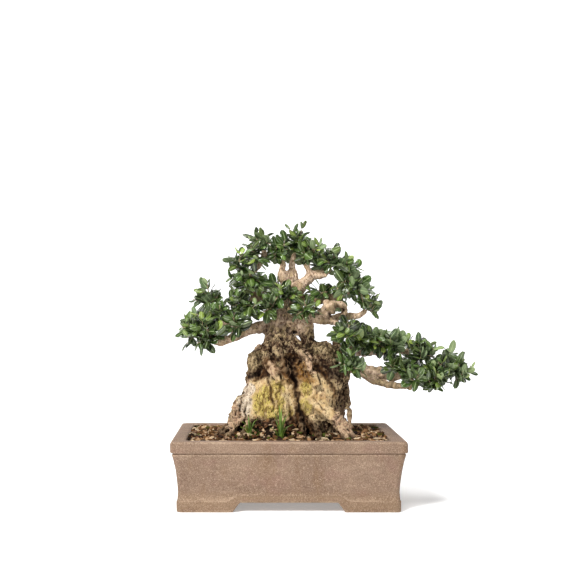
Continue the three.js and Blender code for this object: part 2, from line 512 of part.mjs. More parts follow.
// Leaves stand in opposite pairs, each pair turned from the last.
function placeLeaves(path, owner, random, leaves) {
  const curve = new THREE.CatmullRomCurve3(centres(path), false, 'centripetal');
  const length = curve.getLength();
  const pairs = Math.max(1, Math.round((length - 6) / PAIR_SPACING));
  let turn = random() * Math.PI;
  for (let pair = 0; pair < pairs; pair++) {
    const t = (pair + 0.65) / pairs;
    const [base, tangent] = [curve.getPoint(t), curve.getTangent(t)];
    const side = new THREE.Vector3(0, 0, 1).cross(tangent).normalize();
    const lift = tangent.clone().cross(side);
    turn += Math.PI / 2 + (random() - 0.5) * 0.7;
    for (const half of [0, 1]) {
      for (let attempt = 0; attempt < 9; attempt++) {
        const angle = turn + half * Math.PI + (random() - 0.5) * 0.35 * attempt;
        const spread = 0.75 + 0.45 * random() - (pair === pairs - 1 ? 0.3 : 0);
        const direction = tangent.clone().multiplyScalar(Math.cos(spread))
          .addScaledVector(side, Math.sin(spread) * Math.cos(angle))
          .addScaledVector(lift, Math.sin(spread) * Math.sin(angle)).normalize();
        const outward = base.y < 8 ? -1 : 1;
        const sway = 1.2 * (random() - 0.5);
        const face = new THREE.Vector3(sway, outward * (0.3 + random()), 0.4 + random() * 0.6);
        face.addScaledVector(direction, -face.dot(direction)).normalize();
        const size = 14 + 6 * random();
        const halfWidth = size * (0.25 + 0.05 * random());
        if (!isClear(bladePoints(base, direction, face, size, halfWidth, 0.3), owner)) continue;
        take(bladePoints(base, direction, face, size, halfWidth, 0), 1.7, owner);
        leaves.push(blade(base, direction, face, size, halfWidth));
        break;
      }
    }
  }
}

function makeSprays() {
  for (const name of Object.keys(LIMBS)) takeLimb(LIMBS[name], name);
  for (const spray of SPRAYS) {
    if (spray[2] < 1) takeLimb(spurPath(spray), `${spray[0]}_spur`);
    for (const path of twigPaths(spray)) takeLimb(path, spray[0]);
  }
  return SPRAYS.map((spray, index) => {
    const [name, leaves, random] = [spray[0], [], randomFrom(501 + index * 37)];
    const paths = twigPaths(spray);
    for (const path of paths) placeLeaves(path, name, random, leaves);
    const body = fuse([...paths.map((path, i) => limb(path, 3, i ? 2 : 3)), ...leaves]);
    return piece(`spray_${name}`, body, 0x3c6138, 0.45);
  });
}

// ---------------------------------------------------------------- soil and grass

// The soil mounds up round the stump and dips in a hollow in front of it.
function soilLevel(x, y) {
  const mound = 12 * Math.exp(-((x - 2) ** 2) / 9800 - (y ** 2) / 3400);
  const hollow = 7 * Math.exp(-((x - 34) ** 2) / 260 - ((y + 60) ** 2) / 160);
  const clods = 1.1 * Math.sin(x / 5.3 + 1.7 * Math.sin(y / 7));
  const crumbs = 0.9 * Math.sin(y / 4.7 + 1.4 * Math.sin(x / 9));
  return 84.5 + mound - hollow + clods + crumbs;
}

const TUFTS = [
  ['grass_tuft_tall', -10, -64, [[-5, 1, 40], [-1, -3, 46], [3, -2, 30], [6, 2, 36], [1, 4, 34]]],
  ['grass_tuft_short', -50, -60, [[-5, -2, 22], [-1, 3, 27], [4, -3, 18], [5, 2, 24]]],
];

const tuftRoot = (x, y, grow) => limb(
  [[x, y, 76, 1.8], [x, y, soilLevel(x, y) + 3, 2.4]], 6, 1, 0, grow);

function makeSoil() {
  const relief = reshape(new THREE.BoxGeometry(280, 190, 100, 16, 11, 1), (p) => {
    p.z = p.z > 0 ? soilLevel(p.x, p.y) : -20;
  });
  let soil = relief.intersect(cavity(GAP)).subtract(rootPlate(GAP));
  for (const side of [-1, 1]) {
    const size = NET_SIZE + 2 * GAP;
    soil = soil.subtract(box(size, size, 2 * NET_THICKNESS, side * DRAIN_X, 0, FLOOR_LEVEL + 0.7));
  }
  for (const [, x, y] of TUFTS) soil = soil.subtract(tuftRoot(x, y, GAP));
  return piece('soil', soil, 0x5c4634, 0.95);
}

// A tuft of arching grass blades from one crown that is rooted in the soil.
function makeTuft([name, x, y, blades]) {
  const level = soilLevel(x, y);
  const stalks = blades.map(([dx, dy, height]) => limb([
    [x, y, level, 1.3], [x + dx * 0.4, y + dy * 0.4, level + height * 0.4, 1.2],
    [x + dx, y + dy, level + height * 0.75, 0.9], [x + dx * 2, y + dy * 2, level + height, 0.35],
  ], 3, 3));
  return piece(name, fuse([tuftRoot(x, y, 0), ...stalks]), 0x5f8f2c, 0.6);
}

// ---------------------------------------------------------------- assembly

const tree = new THREE.Group();
tree.name = 'olive_bonsai';
tree.add(makePot(), makeNet('drain_mesh_left', -DRAIN_X), makeNet('drain_mesh_right', DRAIN_X), makeSoil());
tree.add(piece('trunk', makeTrunk(), 0x8d7560, 0.9), ...makeSprays(), ...TUFTS.map(makeTuft));

// The origin is on the table, under the middle of the whole object.
const bounds = new THREE.Box3().setFromObject(tree);
const middle = bounds.getCenter(new THREE.Vector3());
for (const part of tree.children) part.geometry.translate(-middle.x, -middle.y, 0);

export default tree;
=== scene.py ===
import itertools
import math
import random

import bmesh
import bpy
from mathutils import Matrix, Vector, noise
from mathutils.bvhtree import BVHTree


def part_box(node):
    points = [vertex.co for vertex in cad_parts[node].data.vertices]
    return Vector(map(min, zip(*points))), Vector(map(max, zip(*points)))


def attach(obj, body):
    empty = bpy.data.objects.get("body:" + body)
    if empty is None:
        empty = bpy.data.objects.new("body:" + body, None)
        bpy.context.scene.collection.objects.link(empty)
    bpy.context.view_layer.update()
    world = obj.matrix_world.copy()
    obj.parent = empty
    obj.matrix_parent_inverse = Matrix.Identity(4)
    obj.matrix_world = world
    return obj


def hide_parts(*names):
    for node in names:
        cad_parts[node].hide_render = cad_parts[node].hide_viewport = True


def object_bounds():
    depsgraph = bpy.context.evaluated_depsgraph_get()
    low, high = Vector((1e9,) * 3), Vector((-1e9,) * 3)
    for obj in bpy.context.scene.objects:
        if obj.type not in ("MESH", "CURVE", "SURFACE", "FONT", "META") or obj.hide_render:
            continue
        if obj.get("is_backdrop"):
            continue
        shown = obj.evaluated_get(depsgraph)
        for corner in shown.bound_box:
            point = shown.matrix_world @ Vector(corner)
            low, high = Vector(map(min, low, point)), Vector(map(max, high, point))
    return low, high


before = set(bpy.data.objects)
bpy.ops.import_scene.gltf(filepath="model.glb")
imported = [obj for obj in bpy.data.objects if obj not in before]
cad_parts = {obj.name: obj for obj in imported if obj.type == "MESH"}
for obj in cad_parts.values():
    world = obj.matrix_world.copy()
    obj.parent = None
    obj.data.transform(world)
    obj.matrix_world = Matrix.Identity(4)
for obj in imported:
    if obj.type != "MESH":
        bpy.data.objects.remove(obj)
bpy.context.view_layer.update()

# ---------------------------------------------------------------- paper, lamps and camera
# A sweep of white paper that curves up behind the tree, in a pale room; the paper glows with painted light,
# dim near the tree and brighter further off, which keeps it white. A soft box lights it from the upper left,
# a weak one from the right and a third from overhead. The camera stands 1.3 m off, level with the limbs, and
# its lens is shifted, so that upright lines stay upright.
pot_low, pot_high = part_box("pot")
pot_x = (pot_low[0] + pot_high[0]) / 2


def place(x, y, z):
    """Millimetres about the middle of the pot, to metres in the frame."""
    return Vector((x / 1000 + pot_x, y / 1000, z / 1000))


def add_object(name, data):
    """A new object in the scene, at the origin."""
    thing = bpy.data.objects.new(name, data)
    bpy.context.scene.collection.objects.link(thing)
    return thing


def plug(tree, slot, value):
    """Links a wire to a socket, or sets the socket to a plain value."""
    if isinstance(value, Wire):
        tree.links.new(value.socket, slot)
    else:
        slot.default_value = value


class Wire:
    """One shader value or colour, for use in sums."""

    def __init__(self, tree, socket):
        self.tree, self.socket = tree, socket

    def join(self, operation, *values):
        """The result of a Math node on some values."""
        node = self.tree.nodes.new("ShaderNodeMath")
        node.operation = operation
        for slot, value in zip(node.inputs, values):
            plug(self.tree, slot, value)
        return Wire(self.tree, node.outputs[0])

    def __add__(self, other):
        return self.join("ADD", self, other)

    def __radd__(self, other):
        return self.join("ADD", other, self)

    def __sub__(self, other):
        return self.join("SUBTRACT", self, other)

    def __rsub__(self, other):
        return self.join("SUBTRACT", other, self)

    def __mul__(self, other):
        return self.join("MULTIPLY", self, other)

    def __rmul__(self, other):
        return self.join("MULTIPLY", other, self)

    def __truediv__(self, other):
        return self.join("DIVIDE", self, other)

    def __rtruediv__(self, other):
        return self.join("DIVIDE", other, self)

    def __abs__(self):
        return self.join("ABSOLUTE", self)

    def sine(self):
        return self.join("SINE", self)

    def clip(self):
        return self.join("MINIMUM", self.join("MAXIMUM", self, 0.0), 1.0)

    def ramp(self, low, high):
        """0 at low and 1 at high, which may be the smaller."""
        return ((self - low) / (high - low)).clip()


class Finish:
    """The nodes of a material, or of the sky, with short ways to feed its shader."""

    def __init__(self, name, kind=bpy.data.materials, shader="Principled BSDF"):
        self.material = kind.new(name)
        self.material.use_nodes = True
        self.tree = self.material.node_tree
        self.shader = self.tree.nodes[shader]

    def node(self, kind, settings=None, sockets=None, output=0):
        """One output of a new node, whose settings are made before its sockets are fed."""
        node = self.tree.nodes.new("ShaderNode" + kind)
        for key, value in (settings or {}).items():
            if key == "stops":
                ramp = node.color_ramp
                while len(ramp.elements) < len(value):
                    ramp.elements.new(0.5)
                for element, (where, colour) in zip(ramp.elements, value):
                    element.position, element.color = where, colour
            else:
                setattr(node, key, value)
        for key, value in (sockets or {}).items():
            plug(self.tree, node.inputs[key], value)
        return Wire(self.tree, node.outputs[output])

    def spot(self, stretch=(1, 1, 1)):
        """The place on the object, in metres, drawn out along any axis whose stretch is under 1."""
        where = self.node("TexCoord", output="Object")
        return self.node("Mapping", sockets={"Vector": where, "Scale": stretch})

    def part(self, vector, axis):
        """One number out of a place: 0 across, 1 back and 2 up."""
        return self.node("SeparateXYZ", sockets={"Vector": vector}, output=axis)

    def grain(self, scale, detail=4.0, rough=0.55, stretch=(1, 1, 1)):
        """Soft noise about 0.5, with so many grains to the metre."""
        return self.node("TexNoise", sockets={
            "Vector": self.spot(stretch), "Scale": scale, "Detail": detail, "Roughness": rough})

    def cells(self, scale, stretch=(1, 1, 1)):
        """How far a place is from the middle of its cell, with so many cells to the metre."""
        sockets = {"Vector": self.spot(stretch), "Scale": scale}
        return self.node("TexVoronoi", sockets=sockets, output="Distance")

    def attribute(self, name):
        """A number that the mesh holds at each of its points."""
        return self.node("Attribute", {"attribute_name": name}, output="Fac")

    def mix(self, share, first, second):
        """The first colour at 0 and the second at 1."""
        return self.node("Mix", {"data_type": "RGBA"}, {0: share, 6: first, 7: second}, 2)

    def coats(self, colour, *layers):
        """A colour under thin coats, each a share and a colour of its own."""
        for share, coat in layers:
            colour = self.mix(share, colour, coat)
        return colour

    def relief(self, height, depth, strength=1.0):
        """Normals for a fine relief of such a depth, in metres."""
        return self.node("Bump", sockets={"Height": height, "Distance": depth, "Strength": strength})

    def use(self, **sockets):
        """Feeds the shader, with _ for each space in a socket's name, and gives the material."""
        for key, value in sockets.items():
            plug(self.tree, self.shader.inputs[key.replace("_", " ")], value)
        return self.material


def grey(level):
    """A neutral colour as light as its level, from 0 to 1."""
    return (level, level, level, 1)


def new_mesh(name, shell, *materials, turn=True):
    """A smooth mesh from a bmesh, turned outwards unless its faces already are."""
    if turn:
        bmesh.ops.recalc_face_normals(shell, faces=shell.faces[:])
    mesh = bpy.data.meshes.new(name)
    shell.to_mesh(mesh)
    shell.free()
    for face in mesh.polygons:
        face.use_smooth = True
    for material in materials:
        mesh.materials.append(material)
    return mesh


def draw_out(shell, edges):
    """Extrudes edges, and gives the new ones and each new vertex with the one it came from."""
    drawn = bmesh.ops.extrude_edge_only(shell, edges=edges)["geom"]
    fresh = {v for v in drawn if isinstance(v, bmesh.types.BMVert)}
    edges = [e for e in drawn if isinstance(e, bmesh.types.BMEdge) and all(v in fresh for v in e.verts)]
    origins = {}
    for vert in fresh:
        ends = (edge.other_vert(vert) for edge in vert.link_edges)
        origins[vert] = next(end for end in ends if end not in fresh)
    return edges, origins


BACK, BEND, SIDE = 2.2, 0.8, 4  # where the paper starts to curve, its radius, and half its width
white = Finish("glowing_white_paper")
away = white.node("VectorMath", {"operation": "LENGTH"}, {0: white.spot((1, 1, 0))}, 1)
# the paper glows: painted light, dim near the tree and brighter further off, which keeps it white and
# lightens the shadows on it
paper = white.use(Base_Color=grey(0.9), Roughness=0.9, Emission_Strength=0.85,
                  Emission_Color=white.mix(away.ramp(0.5, 1.7), grey(0.34), grey(0.8)))
sweep = bmesh.new()
turns = [a * math.pi / 16 for a in range(9)]
bend = [(BACK + BEND * math.sin(turn), BEND - BEND * math.cos(turn)) for turn in turns]
line = [sweep.verts.new((-SIDE, y, z)) for y, z in [(-4, 0), *bend, (BACK + BEND, 5)]]
for pair in zip(line, line[1:]):
    sweep.edges.new(pair)
far_side = list(draw_out(sweep, sweep.edges[:])[1])
bmesh.ops.translate(sweep, vec=(2 * SIDE, 0, 0), verts=far_side)
add_object("sweep", new_mesh("sweep", sweep, paper))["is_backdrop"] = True


def soft_box(name, where, size, power):
    """A square lamp that faces the middle of the tree."""
    lamp = add_object(name, bpy.data.lights.new(name, "AREA"))
    lamp.data.shape, lamp.data.size, lamp.data.energy = "SQUARE", size, power
    lamp.location = where
    lamp.rotation_euler = (Vector((0, 0, 0.2)) - Vector(where)).to_track_quat("-Z", "Y").to_euler()


soft_box("key", (-0.9, -1.2, 1.3), 0.4, 46)
soft_box("fill", (1.4, -1.3, 0.8), 0.9, 4)
soft_box("top", (0.1, 0.1, 1.9), 0.8, 20)
sky = Finish("sky", bpy.data.worlds, "Background")
up = sky.part(sky.node("TexCoord", output="Generated"), 2)
bpy.context.scene.world = sky.use(Color=grey(1), Strength=0.05 + up.ramp(0.3, 0.12) * 0.6)
bpy.context.scene.view_settings.view_transform = "Standard"

camera = add_object("camera", bpy.data.cameras.new("camera"))
camera.data.lens, camera.data.sensor_width = 58.44, 36
camera.data.shift_x, camera.data.shift_y = 0.0634, 0.024
camera.location = place(-43, -1290, 261)
camera.rotation_euler = (math.pi / 2, 0, 0)
bpy.context.scene.camera = camera

# ---------------------------------------------------------------- pot
# A rectangular tray of unglazed taupe stoneware, pressed in a mould and fettled by hand: a thick
# rim over a groove, flared walls, and a raised moulding that follows the four corner feet.
HALF_X, HALF_Y, CORNER = 150, 100, 6
SPAN_X, SPAN_Y = 71.4, 48.4  # half the gap between the feet, front and side
APRON, APRON_RUN = 12.2, 9  # how far the underside rises between the feet, and over what length
FACE = 1.9  # length of one face along a side
HOLE_X, HOLE_RADIUS = 72, 0.012

# Rows of the wall: height, offset of the outline, wear. Heights under 1 are shares of the way
# from the underside to the top of the moulding, whose level changes along the side.
WALL = [
    (0.0, -8.4, 0.6), (0.07, -7.5, 1), (0.3, -7.4, 0.1), (0.6, -7.4, 0.1), (0.86, -7.4, 0.3), (0.95, -7.6, 1),
    (0.999, -8.5, 0.8),
    (24.5, -9.1, 0), (28, -9, 0), (34, -8.6, 0), (40, -8, 0), (46, -7.2, 0), (52, -6.5, 0), (57, -5.6, 0),
    (62, -4.6, 0), (67, -3.5, 0), (71, -2.4, 0.2), (72.8, -1.9, 1), (73.6, -2.2, 0.8),
    (74.2, -2.8, 0), (75, -2.8, 0), (75.5, -1.2, 0.2), (76.1, -0.2, 0.8), (77, 0.2, 0.4), (79, 0.2, 0.1),
    (83, 0.2, 0.1), (86.5, 0.1, 0.2), (88.5, -0.5, 0.8), (89.6, -1.5, 0.9), (90, -3, 0.4), (90, -6, 0.1),
    (90, -10, 0.1), (89.9, -14, 0.1), (89.7, -16.6, 0.3), (88.9, -18.1, 0.8), (87, -18.6, 0.3),
    (82, -18.8, 0), (60, -19.6, 0), (40, -20.4, 0), (21, -21.2, 0), (18, -23, 0),
]
FLOOR = [(18, -30, 0), (18, -60, 0), (18, -92, 0)]
UNDER = [(-1, -9 - 3.2 * i, 0) for i in range(28)]


def ease(value, low, high):
    """A smooth step from 0 at low to 1 at high."""
    share = max(0.0, min(1.0, (value - low) / (high - low)))
    return share * share * (3 - 2 * share)


def foot_line(x, y):
    """The underside: 0 under the feet, up to the apron between them."""
    gap = max(SPAN_X - abs(x), SPAN_Y - abs(y))
    return APRON * max(0.0, min(1.0, gap / APRON_RUN))


def rim_points():
    """Points round the pot's outline, each with how far along its side it is and that side's span."""
    around = []
    for turn in range(4):
        reach, out, span = ((HALF_X, HALF_Y, SPAN_X), (HALF_Y, HALF_X, SPAN_Y))[turn % 2]
        count = round((reach - CORNER) * 2 / FACE)
        side = [((CORNER - reach) + (reach - CORNER) * 2 * i / count, -out) for i in range(count)]
        arc = [(reach - CORNER + CORNER * math.sin(a), CORNER - out - CORNER * math.cos(a))
               for a in (i * math.pi / 12 for i in range(6))]
        spin = Matrix.Rotation(turn * math.pi / 2, 2)
        around += [(spin @ Vector(p), p[0], span) for p in side + arc]
    return around


def pot_vertex(point, along, span, row):
    """Where a point of the outline comes on one row, and its wear."""
    height, offset, wear = row
    shrink = Vector(((HALF_X + offset) / HALF_X, (HALF_Y + offset) / HALF_Y))
    x, y = point.x * shrink.x, point.y * shrink.y
    between = ease(span + 16 - abs(along), 2, 22)  # 1 between the feet, 0 over them
    if height < 0:
        height = foot_line(x, y)
    elif height < 1:
        low = foot_line(point.x * 0.93, point.y * 0.9) if height == 0 else foot_line(x, y)
        height = low + (14.7 + 7.9 * between - low) * height
    elif 20 < height < 26:
        height = max(height, 15.6 + 9 * between)
    spot = Vector((x, y, height)) * 0.02
    wave = 0.35 * noise.noise(spot) + 0.12 * noise.noise(spot * 5)
    grow = 1 + wave / HALF_X if height > 1 else 1
    return place(x * grow, y * grow, height), wear


def pot_shell():
    """The tray, drawn out from the ring under its feet: up, over the rim and down to the floor."""
    shell = bmesh.new()
    wear_layer = shell.verts.layers.float.new("wear")
    outline = rim_points()

    def draw(rows, edges, strands):
        for row in rows:
            edges, origins = draw_out(shell, edges)
            strands = {vert: strands[back] for vert, back in origins.items()}
            for vert, index in strands.items():
                vert.co, vert[wear_layer] = pot_vertex(*outline[index], row)
        bmesh.ops.edgeloop_fill(shell, edges=edges)

    first = {}
    for index, strand in enumerate(outline):
        co, wear = pot_vertex(*strand, WALL[0])
        vert = shell.verts.new(co)
        vert[wear_layer] = wear
        first[vert] = index
    ring = list(first)
    edges = [shell.edges.new(pair) for pair in zip(ring, ring[1:] + ring[:1])]
    draw(WALL[1:] + FLOOR, edges, first)
    draw(UNDER, edges, first)
    return shell


def paint(red, green, blue):
    """A colour from its screen values of 0 to 255."""
    def linear(value):
        value /= 255
        return value / 12.92 if value <= 0.04045 else ((value + 0.055) / 1.055) ** 2.4
    return (linear(red), linear(green), linear(blue), 1.0)


clay = Finish("stoneware")
cloud = clay.grain(13, 6, 0.6)
blush = clay.grain(21, 5, 0.6, stretch=(1, 1, 1.6))
drift = clay.grain(34, 5, 0.65, stretch=(0.5, 1, 1.6))
stain = clay.grain(46, 5, 0.6, stretch=(1, 1, 0.35))
speck = clay.grain(1100, 2, 0.75)
sand = clay.grain(420, 3, 0.75)
foot = (clay.part(clay.spot(), 2) + (cloud - 0.5) * 0.016).ramp(0.028, 0.017)
rubbed = clay.attribute("wear").ramp(0.35, 1) * (sand + (drift - 0.5)).ramp(0.38, 0.62)
tint = clay.coats(
    clay.mix(cloud.ramp(0.36, 0.64), paint(104, 80, 62), paint(128, 104, 84)),
    (blush.ramp(0.52, 0.68) * 0.6, paint(124, 92, 78)),
    (drift.ramp(0.56, 0.74) * 0.6, paint(154, 132, 112)),
    (stain.ramp(0.52, 0.66) * 0.6, paint(112, 84, 56)),
    (foot * 0.75, paint(128, 102, 76)),
    ((foot * blush.ramp(0.53, 0.66)) * 0.6, paint(108, 78, 54)),
    (speck.ramp(0.54, 0.66) * 0.6, paint(186, 164, 142)),
    (speck.ramp(0.46, 0.36) * 0.6, paint(70, 50, 40)),
    (sand.ramp(0.55, 0.7) * 0.5, paint(172, 150, 128)),
    (sand.ramp(0.44, 0.32) * 0.4, paint(86, 66, 54)),
    (rubbed * 0.45, paint(186, 162, 136)))
clay.use(Base_Color=tint, Roughness=0.74 + 0.16 * cloud,
         Normal=clay.relief(speck * 0.4 + sand * 0.6, 0.0008, 0.6))

pot = add_object("stoneware_tray", new_mesh("stoneware_tray", pot_shell(), clay.material))
for side in (-1, 1):
    cutter = bmesh.new()
    bmesh.ops.create_cone(cutter, cap_ends=True, segments=40, radius1=HOLE_RADIUS, radius2=HOLE_RADIUS,
                          depth=0.03, matrix=Matrix.Translation(place(HOLE_X * side, 0, 15)))
    drill = add_object("drill", new_mesh("drill", cutter))
    hole = pot.modifiers.new("drain", "BOOLEAN")
    hole.operation, hole.solver, hole.object = "DIFFERENCE", "EXACT", drill


def as_shown(thing):
    """A new mesh of the object as its modifiers or bevel leave it."""
    return bpy.data.meshes.new_from_object(thing.evaluated_get(bpy.context.evaluated_depsgraph_get()))


def settle(thing):
    """Applies the object's modifiers, removes the cutters they used and gives its mesh."""
    mesh = as_shown(thing)
    cutters = [m.object for m in thing.modifiers if m.type == "BOOLEAN"]
    thing.modifiers.clear()
    thing.data = mesh
    for cutter in cutters:
        bpy.data.objects.remove(cutter)
    return mesh


def put_in(thing, node):
    """The piece belongs to the tree in its pot, and the node's own part is hidden."""
    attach(thing, "root")
    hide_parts(node)


settle(pot)
put_in(pot, "pot")

# ---------------------------------------------------------------- trunk
# One old olive, all one grown body: a split stump on flared roots, a twisted neck and its limbs.
# The bark is brown and furrowed, worn on the face to cream wood under yellow-green lichen.

# each limb, in rows of x, y, z and radius
LIMBS = {
    "neck": [(-4, 4, 164, 40), (-8, 2, 184, 35), (-9, 0, 203, 26), (-9, 0, 222, 19), (-9, -1, 240, 16.5),
             (-7, -2, 254, 14)],
    "arm": [(-3, -3, 243, 12), (14, -7, 238, 12), (25, -6, 227, 11), (28, -3, 212, 10), (35, 0, 198, 11)],
    "strand": [(0, -6, 226, 7), (11, -18, 208, 7), (24, -27, 190, 7.5), (36, -26, 170, 8), (42, -16, 152, 8)],
    "lowLeft": [(-14, 2, 240, 11), (-31, 2, 233, 9), (-47, -2, 230, 7.5), (-66, -6, 222, 6.4),
                (-83, -10, 214, 5.2), (-95, -12, 212, 4.4), (-107, -15, 219, 3.4), (-118, -16, 226, 2.8)],
    "lowLeftUp": [(-84, -10, 214, 4.2), (-91, -4, 231, 3.4), (-98, 2, 246, 2.9), (-102, 4, 262, 2.4)],
    "lowLeftBack": [(-60, -4, 223, 5), (-78, 16, 233, 4), (-90, 34, 238, 3), (-98, 46, 241, 2.6)],
    "left": [(-9, 3, 251, 12), (-25, 4, 265, 8.5), (-39, 3, 279, 7), (-47, 1, 295, 6), (-44, 0, 310, 5.2),
             (-34, 0, 322, 4.6), (-30, 0, 332, 4), (-34, 1, 341, 3.2)],
    "leftSide": [(-32, 3, 272, 5.5), (-48, -10, 271, 4.2), (-61, -18, 265, 3.2)],
    "leftTop": [(-47, 1, 298, 4.6), (-57, -3, 304, 3.6), (-63, -6, 312, 2.8)],
    "leader": [(-7, -1, 250, 15), (3, -1, 264, 11.5), (11, -2, 276, 10), (18, -2, 287, 8.8),
               (26, -3, 295, 7.8), (35, -4, 302, 6.6), (46, -5, 305, 5.2), (55, -6, 309, 4),
               (59, -6, 316, 3)],
    "leaderStub": [(42, -5, 303, 5.4), (55, -8, 304, 4.6)],
    "leaderArm": [(24, -3, 293, 7), (30, -6, 305, 5), (27, -7, 316, 4), (30, -6, 326, 3)],
    "leaderLeft": [(12, -1, 280, 9), (3, 3, 288, 8), (-5, 4, 299, 6.2), (-6, 4, 311, 5), (-4, 3, 321, 4),
                   (-8, 2, 331, 3)],
    "leaderMid": [(4, 3, 287, 8), (8, 5, 299, 6.4), (8, 6, 311, 5.6), (8, 6, 323, 4.6), (12, 5, 334, 3.2)],
    "right": [(2, 3, 259, 10), (18, 6, 268, 8), (37, 6, 271, 7), (55, 4, 272, 6.4), (69, 1, 275, 5.4),
              (73, -2, 288, 4.2), (73, -3, 299, 3.4), (77, -4, 308, 2.8)],
    "rightOut": [(66, 2, 274, 5), (80, -5, 279, 3.6), (92, -9, 281, 2.8)],
    "rightLow": [(-2, -6, 251, 11), (15, -11, 251, 8), (30, -15, 247, 6.8), (44, -16, 243, 6),
                 (58, -12, 242, 5.4), (73, -8, 247, 4.8), (86, -4, 247, 4.2), (98, -2, 248, 3.8),
                 (108, -2, 255, 3)],
    "rightLowGnarl": [(48, -15, 245, 6), (54, -20, 257, 5), (65, -21, 264, 5), (76, -17, 261, 4.6),
                      (78, -10, 250, 4.4)],
    "rightLowDown": [(62, -12, 242, 4.4), (71, -20, 234, 3.3), (76, -25, 226, 2.6)],
    "long": [(58, 3, 191, 16), (80, -2, 188, 12), (96, -6, 178, 10), (112, -6, 171, 9), (128, -3, 170, 7.6),
             (148, 2, 167, 6.4), (170, 4, 170, 5.2), (194, 4, 171, 4.2), (213, 2, 169, 3.2),
             (227, 0, 167, 2.6)],
    "longLow": [(92, -8, 177, 6.5), (114, -16, 163, 5), (135, -20, 156, 4.6), (157, -21, 154, 4.2),
                (177, -19, 157, 3.6), (194, -16, 161, 2.8)],
    "longUp": [(68, 8, 198, 11), (93, 12, 204, 8), (112, 13, 204, 6.4), (131, 11, 201, 5.2),
               (153, 10, 200, 4.2), (178, 8, 196, 3)],
    "longFront": [(74, -10, 190, 8), (81, -27, 185, 4.4), (84, -42, 181, 2.9)],
    "backLeft": [(-4, 6, 244, 11), (-8, 28, 258, 7.5), (-16, 52, 272, 5), (-21, 68, 280, 3.2)],
    "backRight": [(4, 6, 232, 11), (27, 30, 240, 7.5), (50, 50, 252, 5), (62, 64, 262, 3.2)],
    "backLow": [(78, 12, 195, 9), (108, 36, 198, 6), (136, 54, 195, 4), (148, 62, 197, 3)],
}


class Path:
    """A centripetal Catmull-Rom curve through rows of x, y, z and radius."""

    def __init__(self, rows):
        knots = [Vector(row[:3]) for row in rows]
        self.knots = [2 * knots[0] - knots[1], *knots, 2 * knots[-1] - knots[-2]]
        self.radii = [row[3] for row in rows]

    def stretch(self, t):
        """The stretch between two knots that holds a share of the way, and how far along it."""
        last = len(self.radii) - 1
        index = min(int(t * last), last - 1)
        return index, t * last - index

    def point(self, t):
        index, u = self.stretch(t)
        p0, p1, p2, p3 = self.knots[index:index + 4]
        d0, d1, d2 = (max((b - a).length, 1e-4) ** 0.5 for a, b in ((p0, p1), (p1, p2), (p2, p3)))
        m1 = ((p1 - p0) / d0 - (p2 - p0) / (d0 + d1) + (p2 - p1) / d1) * d1
        m2 = ((p2 - p1) / d1 - (p3 - p1) / (d1 + d2) + (p3 - p2) / d2) * d1
        return (p1 + m1 * u + (3 * (p2 - p1) - 2 * m1 - m2) * u ** 2 + (2 * (p1 - p2) + m1 + m2) * u ** 3)

    def heading(self, t):
        return (self.point(min(1, t + 1e-4)) - self.point(max(0, t - 1e-4))).normalized()

    def radius(self, t):
        index, u = self.stretch(t)
        return self.radii[index] + (self.radii[index + 1] - self.radii[index]) * u

    def rows(self, gap):
        """Rows of point and radius about gap millimetres apart."""
        length = sum((b - a).length for a, b in zip(self.knots[1:], self.knots[2:-1]))
        count = max(3, round(length / gap))
        return [(self.point(i / count), self.radius(i / count)) for i in range(count + 1)]


def stems(name, lines, sides):
    """A mesh of round closed stems; each line is rows of point and radius in millimetres."""
    curve = bpy.data.curves.new(name, "CURVE")
    curve.dimensions, curve.bevel_depth, curve.use_fill_caps = "3D", 0.001, True
    curve.bevel_resolution = sides // 2 - 2
    for line in lines:
        spline = curve.splines.new("POLY")
        spline.points.add(len(line) - 1)
        for knot, (point, radius) in zip(spline.points, line):
            knot.co = (*place(*point), 1)
            knot.radius = radius
    thing = add_object(name, curve)
    mesh = as_shown(thing)
    bpy.data.objects.remove(thing)
    return mesh


# how far knots stand out, as a share of the radius, on the gnarled limbs and on the rest
GNARLED = {"rightLowGnarl": 0.7, "leaderStub": 0.4, "leaderArm": 0.36}
KNOTTY = 0.24
LIMB_GAP, CORD_GAP = 2.5, 3  # between the rows of a limb and of a cord


def limb_line(name):
    """A limb's rows, swollen here and there by knots and pruning scars."""
    rows = Path(LIMBS[name]).rows(LIMB_GAP)
    draw = random.Random("knots " + name)
    size = GNARLED.get(name, KNOTTY)
    knots = [(draw.randrange(len(rows)), size * (0.4 + draw.random())) for _ in range(len(rows) // 4)]
    line = []
    for i, (point, radius) in enumerate(rows):
        swell = sum(much * math.exp(-((i - at) / 1.3) ** 2) for at, much in knots)
        line.append((point, radius * (0.97 + swell)))
    return line


# cords of living wood that run down from the neck over the lobes of the stump
CORDS = [
    [(-12, -16, 222, 6), (-14, -24, 206, 6), (-8, -32, 192, 5.5), (-3, -38, 178, 5), (0, -41, 164, 4)],
    [(-22, -10, 220, 6), (-28, -20, 204, 6), (-26, -30, 190, 6), (-18, -37, 176, 5.5), (-12, -41, 160, 4)],
    [(4, -12, 216, 5), (14, -24, 202, 5), (24, -33, 188, 5.5), (31, -37, 172, 6), (38, -40, 156, 6)],
    [(-34, -12, 206, 7), (-44, -18, 190, 8), (-46, -22, 174, 6)],
    [(36, -14, 206, 7), (50, -22, 198, 8), (58, -24, 184, 7), (62, -30, 168, 6), (68, -32, 150, 6)],
    [(-10, -42, 112, 5), (-14, -50, 96, 4), (-16, -56, 82, 3)],
    [(30, -42, 118, 6), (38, -50, 100, 4), (42, -56, 84, 3)],
    [(52, -40, 122, 6), (66, -50, 106, 6), (76, -58, 92, 4.5), (80, -62, 78, 3)],
    [(-60, -28, 116, 4), (-72, -42, 98, 3.4), (-84, -52, 88, 2.6), (-94, -58, 82, 2)],
]
